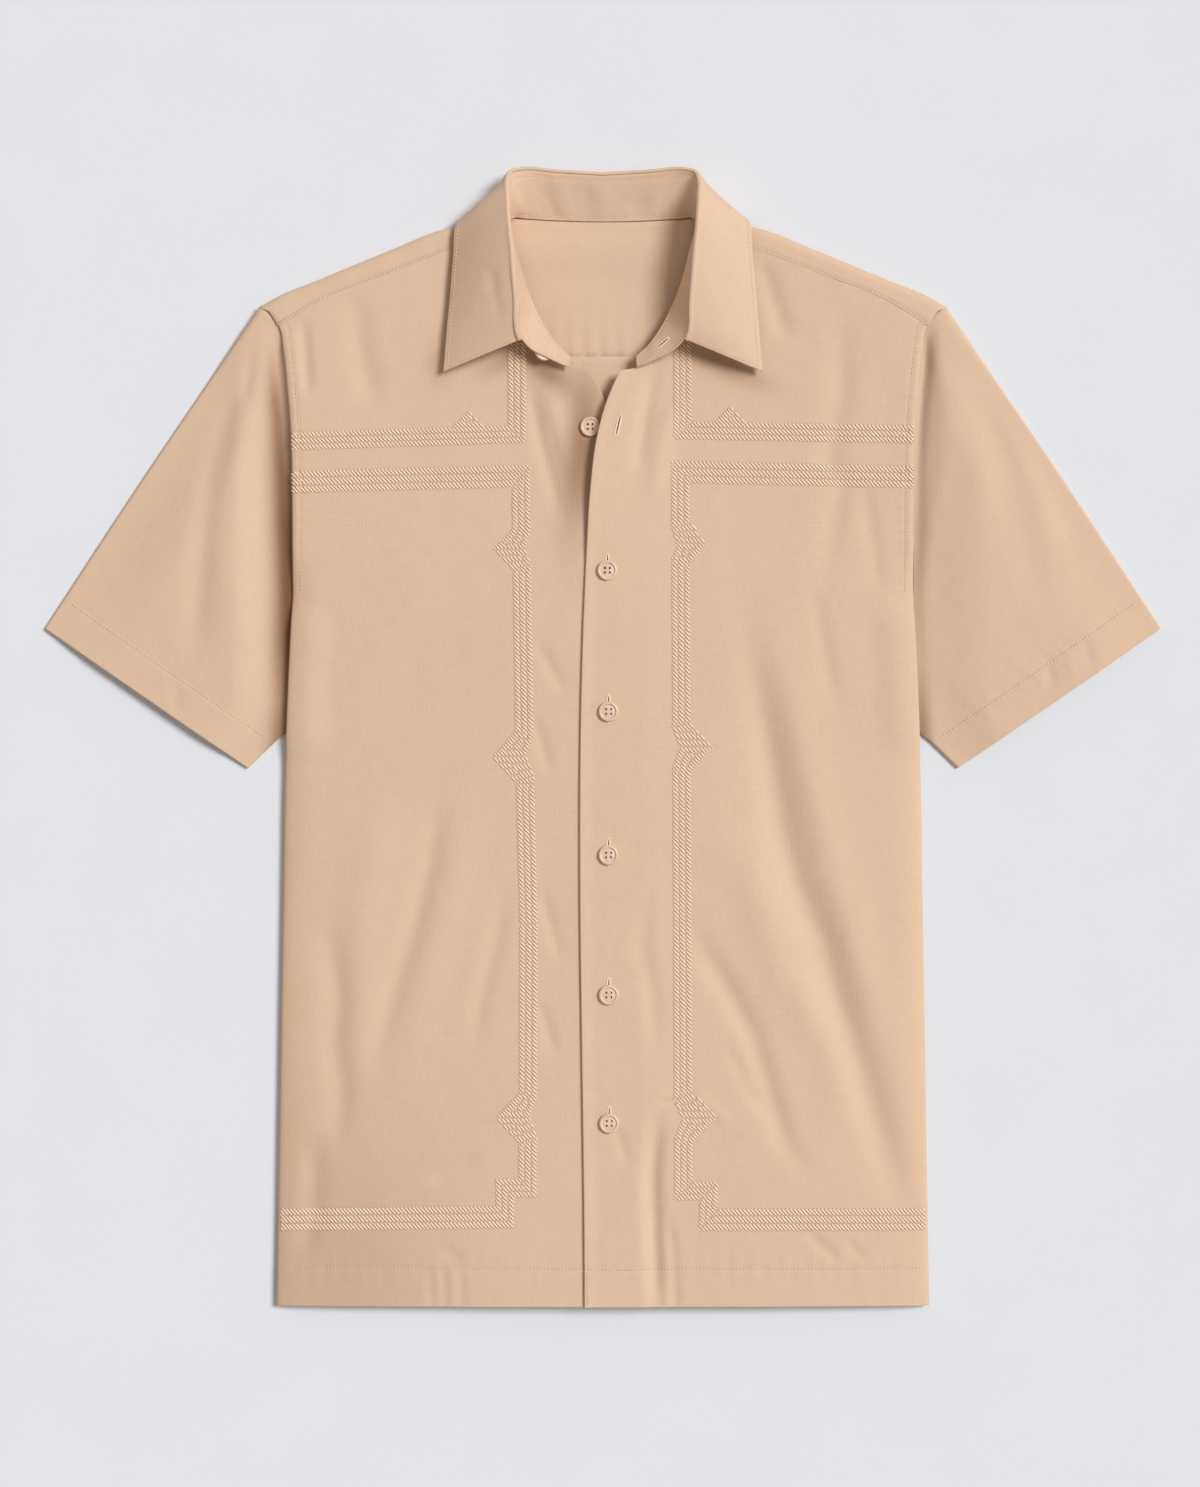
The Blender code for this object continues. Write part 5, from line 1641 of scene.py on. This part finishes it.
def buttonhole(half, lay):
    """A worked buttonhole: a bead of thread round a long slot, ribbed where each stitch lies.

    The bead's middle runs round a long oval, and its round section swells with each rib.
    """
    count, around = 120, 8
    phase = np.linspace(0, 2 * np.pi, count, endpoint=False)[:, None]
    cos, sin = np.cos(phase), np.sin(phase)
    angle = np.linspace(0, 2 * np.pi, around, endpoint=False)
    rib = 0.62 * (1 + 0.22 * np.cos(phase * 36))
    away = np.hypot(0.16 * half * cos, 3 * sin)
    along = half * np.sign(cos) * np.abs(cos) ** 0.55 + 0.16 * half * cos / away * rib * np.cos(angle)
    across = 1.05 * np.sign(sin) * np.abs(sin) ** 0.45 + 3 * sin / away * rib * np.cos(angle)
    bead = lay(along, across, 0.1 + 0.55 * rib * np.sin(angle))
    # The slot is a dark sheet of painted shadow in the opening between the bead's sides
    t = np.linspace(-1, 1, 15)[:, None]
    slot_half = 0.42 * np.sqrt(np.maximum(1 - t**2, 0.02))
    slot = lay(0.9 * half * t, slot_half * np.cos(angle), 0.03 + 0.10 * np.sin(angle))
    return closed_grid(bead), closed_grid(slot, capped=True)


# Settings


def number_setting(name, description, default, **kind):
    return bpy.props.FloatProperty(
        name=name, description=description, default=default, min=0.0, **kind
    )


def length_setting(name, description, default):
    return number_setting(name, description, default, unit="LENGTH", precision=5)


def colour_setting(name, description, default):
    return bpy.props.FloatVectorProperty(
        name=name, description=description, default=default, size=3, min=0.0, max=1.0, subtype="COLOR"
    )


class ShirtSizes(bpy.types.PropertyGroup):
    cloth: length_setting("Cloth", "Thickness of the body's cloth", 0.0010)
    collar_cloth: length_setting("Collar cloth", "Thickness of the interfaced collar", 0.0013)
    seam_pitch: length_setting("Seam pitch", "Distance from one seam stitch to the next", 0.0025)
    seam_stitch: length_setting("Seam stitch", "Length of one seam stitch", 0.0017)
    seam_thread: length_setting("Seam thread", "Width of the seam thread", 0.00080)
    track_width: length_setting("Border track", "Distance between two tracks of the border", 0.00455)
    border_pitch: length_setting("Border pitch", "Distance between two rows of border stitches", 0.0020)
    border_stitch: length_setting("Border stitch", "Usual length of a border stitch", 0.0062)
    border_thread: length_setting("Border thread", "Width of the border's thread", 0.00172)
    button_radius: length_setting("Button radius", "Radius of a button", 0.0070)
    button_thick: length_setting("Button thickness", "Thickness of a button at its rim", 0.0026)


class ShirtColours(bpy.types.PropertyGroup):
    cloth: colour_setting("Cloth", "Colour of the cotton", (0.780, 0.556, 0.388))
    cloth_shadow: colour_setting("Cloth shadow", "Colour between the yarns", (0.700, 0.482, 0.330))
    cloth_mottle: colour_setting("Cloth mottle", "Colour of the soft mottle", (0.765, 0.530, 0.372))
    thread: colour_setting("Thread", "Colour of the seam thread", (1.000, 0.790, 0.600))
    thread_shadow: colour_setting("Thread shadow", "Colour between its plies", (0.850, 0.620, 0.450))
    border: colour_setting("Border", "Colour of the embroidery thread", (1.000, 0.750, 0.540))
    border_shadow: colour_setting("Border shadow", "Colour between its plies", (0.960, 0.700, 0.495))
    button: colour_setting("Button", "Colour of the buttons", (0.850, 0.610, 0.450))
    button_shadow: colour_setting("Button cloud", "Darker cloud in the buttons", (0.770, 0.530, 0.385))
    # The slot colour is painted shadow: the dark of the buttonholes' openings and of the discs under the
    # buttons
    slot: colour_setting("Slot", "Colour inside a buttonhole", (0.160, 0.080, 0.045))
    floor: colour_setting("Floor", "Colour of the table", (0.806, 0.820, 0.866))


class ShirtStage(bpy.types.PropertyGroup):
    key: number_setting("Key light", "Strength of the main light", 2.48)
    key_angle: number_setting("Key softness", "Angle that the main light spans", 0.40, subtype="ANGLE")
    fill: number_setting("Fill light", "Strength of the even light", 0.36)
    camera_height: length_setting("Camera height", "Height of the camera above the table", 2.3211)


# Operators


class SHIRT_OT_back(bpy.types.Operator):
    """Make the back and the yoke"""

    bl_idname = "shirt.back"
    bl_label = "Back and yoke"

    def execute(self, context):
        sizes, colours = context.scene.shirt_sizes, context.scene.shirt_colours
        cotton_finish = shirt_cotton(colours)
        back = make_back("shirt_back", sizes.cloth / MM, cotton_finish)
        take_place(back, "back", slot="shirt_cloth")
        yoke, left_front, right_front = make_yoke("shirt_yoke", sizes.cloth / MM, cotton_finish)
        take_place(yoke, "yoke", slot="shirt_cloth")
        runs = [seam_run(half[YOKE_STITCH_ROW, 2:-2], sizes) for half in (left_front, right_front)]
        stitches = thread_object("shoulder_stitching", runs, sewing_thread(colours))
        take_place(stitches, slot="shirt_cloth")
        return {"FINISHED"}


class SHIRT_OT_fronts(bpy.types.Operator):
    """Make the two fronts with their seam stitching"""

    bl_idname = "shirt.fronts"
    bl_label = "Fronts"

    def execute(self, context):
        sizes, colours = context.scene.shirt_sizes, context.scene.shirt_colours
        for name, side, edge_rows in (("front_right", -1, RIGHT_EDGE), ("front_left", 1, LEFT_EDGE)):
            made = make_front("shirt_" + name, side, edge_rows, sizes.cloth / MM, shirt_cotton(colours))
            take_place(made, name, slot="shirt_cloth")
            self.stitch(name, side, edge_rows, sizes, colours)
        return {"FINISHED"}

    def stitch(self, name, side, edge_rows, sizes, colours):
        hem_drop = LENGTH - HEM_DEPTH
        reach = half_width_at(BODY_SIDE, hem_drop) - 2.5
        edge_x = edge_at(edge_rows, hem_drop) + 1.5 * side
        lines = [np.stack([np.linspace(edge_x, side * reach, 160), np.full(160, hem_drop)], axis=1)]
        arm_drop = np.linspace(ARMHOLE[0].drop - 3, 118, 140)
        arm_x = side * (half_width_at(ARM_LINE, arm_drop) - ARM_STITCH_IN)
        lines.append(np.stack([arm_x, arm_drop], axis=1))
        corner = np.linspace(hem_drop + 2, LENGTH - 1.5, 16)
        lines.append(np.stack([np.full(16, edge_at(edge_rows, hem_drop) + 2.0 * side), corner], axis=1))
        runs = []
        for plan in lines:
            x, drop = plan[:, 0], plan[:, 1]
            line = np.stack([x, drop, front_top(side, x, drop) + 0.22], axis=1)
            runs.append(seam_run(line, sizes))
        made = thread_object(name + "_stitching", runs, sewing_thread(colours))
        take_place(made, slot="shirt_cloth")


class SHIRT_OT_sleeves(bpy.types.Operator):
    """Make the two sleeves with their hems"""

    bl_idname = "shirt.sleeves"
    bl_label = "Sleeves"

    def execute(self, context):
        sizes, colours = context.scene.shirt_sizes, context.scene.shirt_colours
        for name, side in (("sleeve_right", -1), ("sleeve_left", 1)):
            made, upper = make_sleeve("shirt_" + name, side, sizes.cloth / MM, shirt_cotton(colours))
            take_place(made, name, slot="shirt_cloth")
            run = seam_run(hem_run(side, upper) + [0, 0, 0.25], sizes)
            stitches = thread_object(name + "_stitching", [run], sewing_thread(colours))
            take_place(stitches, slot="shirt_cloth")
        return {"FINISHED"}


class SHIRT_OT_collar(bpy.types.Operator):
    """Make the collar's stand and leaf with their stitching"""

    bl_idname = "shirt.collar"
    bl_label = "Collar"

    def execute(self, context):
        sizes, colours = context.scene.shirt_sizes, context.scene.shirt_colours
        thick = sizes.collar_cloth / MM
        stand, inner, found, up = make_stand("shirt_collar_stand", thick, shirt_cotton(colours))
        take_place(stand, "collar_stand", slot="shirt_cloth")
        leaf, upper, leaf_found, stitch_row = make_leaf("shirt_collar_leaf", thick, shirt_cotton(colours))
        take_place(leaf, "collar_leaf", slot="shirt_cloth")
        runs = []
        for stitched in STAND_STITCHES_AT:
            row = int(np.argmin(np.abs(up - stitched)))
            runs.append(seam_run(inner[row, 3:-3], sizes, found[row, 3:-3]))
        runs.append(seam_run(upper[stitch_row, 4:-4], sizes, leaf_found[stitch_row, 4:-4]))
        for end in (3, -4):
            runs.append(seam_run(upper[12:stitch_row, end], sizes, leaf_found[12:stitch_row, end]))
        stitches = thread_object("collar_stitching", runs, sewing_thread(colours))
        take_place(stitches, slot="shirt_cloth")
        return {"FINISHED"}


class SHIRT_OT_embroidery(bpy.types.Operator):
    """Make the embroidered border of each front"""

    bl_idname = "shirt.embroidery"
    bl_label = "Embroidery"

    def execute(self, context):
        sizes, colours = context.scene.shirt_sizes, context.scene.shirt_colours
        finish = thread_finish("pale_embroidery_thread", colours.border, colours.border_shadow, 1800.0)
        for name, side in (("embroidery_right", -1), ("embroidery_left", 1)):
            made = thread_object(name, border_stitches(side, sizes), finish)
            take_place(made, slot="embroidery")
        return {"FINISHED"}


class SHIRT_OT_buttons(bpy.types.Operator):
    """Make the buttons, their thread and their buttonholes"""

    bl_idname = "shirt.buttons"
    bl_label = "Buttons and buttonholes"

    def execute(self, context):
        sizes, colours = context.scene.shirt_sizes, context.scene.shirt_colours
        radius, thick = sizes.button_radius / MM, sizes.button_thick / MM
        finish = button_finish("tan_button", colours.button, colours.button_shadow)
        shape, faces = button_shape(radius, thick, finish)
        bar_points, bar_faces = merged(thread_bars(thick))
        # The discs of painted shadow that darken the buttons' holes
        shadow_disc_points, shadow_disc_faces = hole_shadow_disc()
        sewing, hole_shadows = [], []
        for button, side in [(b, 1) for b in FRONT_BUTTONS] + [(CHEST_BUTTON, -1)]:
            around = circle(24)
            under = np.concatenate([around * radius, around * radius * 0.5, [[0, 0]]])
            z = front_top(side, button.x + under[:, 0], button.drop + under[:, 1]).max() + 0.15
            place = to_metres((button.x, button.drop, z))
            self.set_button(button.name, shape + place, faces, finish)
            sewing.append((bar_points + place, bar_faces))
            hole_shadows.append((shadow_disc_points + place, shadow_disc_faces))
        place, axes = self.collar_button()
        self.set_button("button_collar", shape @ axes + place, faces, finish)
        sewing.append((bar_points @ axes + place, bar_faces))
        hole_shadows.append((shadow_disc_points @ axes + place, shadow_disc_faces))
        thread = joined("button_thread", sewing, sewing_thread(colours))
        take_place(thread, slot="shirt_cloth")
        self.buttonholes(colours, hole_shadows)
        return {"FINISHED"}

    def set_button(self, node_name, points, faces, finish):
        made = new_object("shirt_" + node_name, points, faces, finish, smooth_angle=0.55)
        take_place(made, node_name, slot="button")

    def collar_button(self):
        at = COLLAR_BUTTON_AT + np.array([-0.01, 0.0, 0.01])
        foot, top, _ = collar_lines(at)
        middle = (foot[1] + (top[1] - foot[1]) * COLLAR_BUTTON_UP) * [-1, 1, 1]
        along = (top[2] - top[0]) * [-1, -1, 1]
        rise = (top[1] - foot[1]) * [-1, -1, 1]
        face = unit(np.cross(rise, along))
        face = face * -np.sign(face[2])
        point = middle + face * [1, -1, 1] * COLLAR_BUTTON_OUT
        return to_metres(point), facing_axes(face)

    def buttonholes(self, colours, hole_shadows):
        places = [(button.x, button.drop - BUTTONHOLE_ABOVE, 0.0) for button in FRONT_BUTTONS]
        worked = [buttonhole(BUTTONHOLE_HALF, laid_on_front(*place)) for place in places]
        worked.append(buttonhole(OPEN_BUTTONHOLE_HALF, laid_on_front(*OPEN_BUTTONHOLE)))
        worked.append(buttonhole(STAND_BUTTONHOLE_HALF, laid_on_stand()))
        beads, slots = zip(*worked)
        made = joined("buttonhole_thread", beads, sewing_thread(colours))
        take_place(made, slot="shirt_cloth")
        # One dark finish of painted shadow for the buttonholes' slots and the discs under the buttons
        dark = plain_finish("buttonhole_shadow", colours.slot, 0.6, 900.0, Roughness=0.95)
        made = joined("buttonhole_slots", [*slots, *hole_shadows], dark)
        take_place(made, slot="shirt_cloth")


class SHIRT_OT_stage(bpy.types.Operator):
    """Make the floor, the lights and the camera"""

    bl_idname = "shirt.stage"
    bl_label = "Stage"

    def execute(self, context):
        scene = context.scene
        stage, colours = scene.shirt_stage, scene.shirt_colours
        reach, below = 4.0, -0.0004
        corners = np.array([[-1, -1], [1, -1], [1, 1], [-1, 1]]) * reach
        points = np.column_stack([corners, np.full(4, below)])
        table = plain_finish("pale_table", colours.floor, 0.985, 14.0, Roughness=0.9,
                             Specular_IOR_Level=0.15)
        floor = new_object("floor", points, [[0, 1, 2, 3]], table)
        lamp = bpy.data.lights.new("key", "SUN")
        lamp.energy = stage.key
        lamp.angle = stage.key_angle
        lamp.color = (0.98, 0.992, 1.0)
        key = bpy.data.objects.new("key", lamp)
        towards = Vector((0.62, 0.30, 0.88))
        key.rotation_euler = towards.to_track_quat("Z", "Y").to_euler()
        key.location = towards * 2
        scene.collection.objects.link(key)
        world = bpy.data.worlds.new("studio")
        world.use_nodes = True
        sky = world.node_tree.nodes["Background"]
        sky.inputs["Color"].default_value = (1.0, 0.958, 0.905, 1.0)
        sky.inputs["Strength"].default_value = stage.fill
        scene.world = world
        lens = bpy.data.cameras.new("camera")
        lens.lens = 80.0
        lens.sensor_fit = "VERTICAL"
        lens.sensor_height = 36.0
        lens.clip_end = 20.0
        camera = bpy.data.objects.new("camera", lens)
        camera.location = (-0.0021, -0.00525, stage.camera_height)
        scene.collection.objects.link(camera)
        scene.camera = camera
        scene.view_settings.view_transform = "Standard"
        return {"FINISHED"}


STEPS = (
    SHIRT_OT_stage,
    SHIRT_OT_back,
    SHIRT_OT_fronts,
    SHIRT_OT_sleeves,
    SHIRT_OT_collar,
    SHIRT_OT_embroidery,
    SHIRT_OT_buttons,
)


class SHIRT_PT_panel(bpy.types.Panel):
    """The shirt's steps and settings"""

    bl_idname = "SHIRT_PT_panel"
    bl_label = "Embroidered shirt"
    bl_space_type = "VIEW_3D"
    bl_region_type = "UI"
    bl_category = "Shirt"

    def draw(self, context):
        for step in STEPS:
            self.layout.operator(step.bl_idname)
        for group in (context.scene.shirt_sizes, context.scene.shirt_colours, context.scene.shirt_stage):
            box = self.layout.box()
            for name in group.__annotations__:
                box.prop(group, name)


GROUPS = (("shirt_sizes", ShirtSizes), ("shirt_colours", ShirtColours), ("shirt_stage", ShirtStage))


def register():
    for attribute, group in GROUPS:
        bpy.utils.register_class(group)
        setattr(bpy.types.Scene, attribute, bpy.props.PointerProperty(type=group))
    for cls in STEPS + (SHIRT_PT_panel,):
        bpy.utils.register_class(cls)


def unregister():
    for cls in (SHIRT_PT_panel,) + STEPS[::-1]:
        bpy.utils.unregister_class(cls)
    for attribute, group in GROUPS[::-1]:
        delattr(bpy.types.Scene, attribute)
        bpy.utils.unregister_class(group)


def main():
    register()
    bpy.ops.shirt.stage()
    bpy.ops.shirt.back()
    bpy.ops.shirt.fronts()
    bpy.ops.shirt.sleeves()
    bpy.ops.shirt.collar()
    bpy.ops.shirt.embroidery()
    bpy.ops.shirt.buttons()


if __name__ == "__main__":
    main()
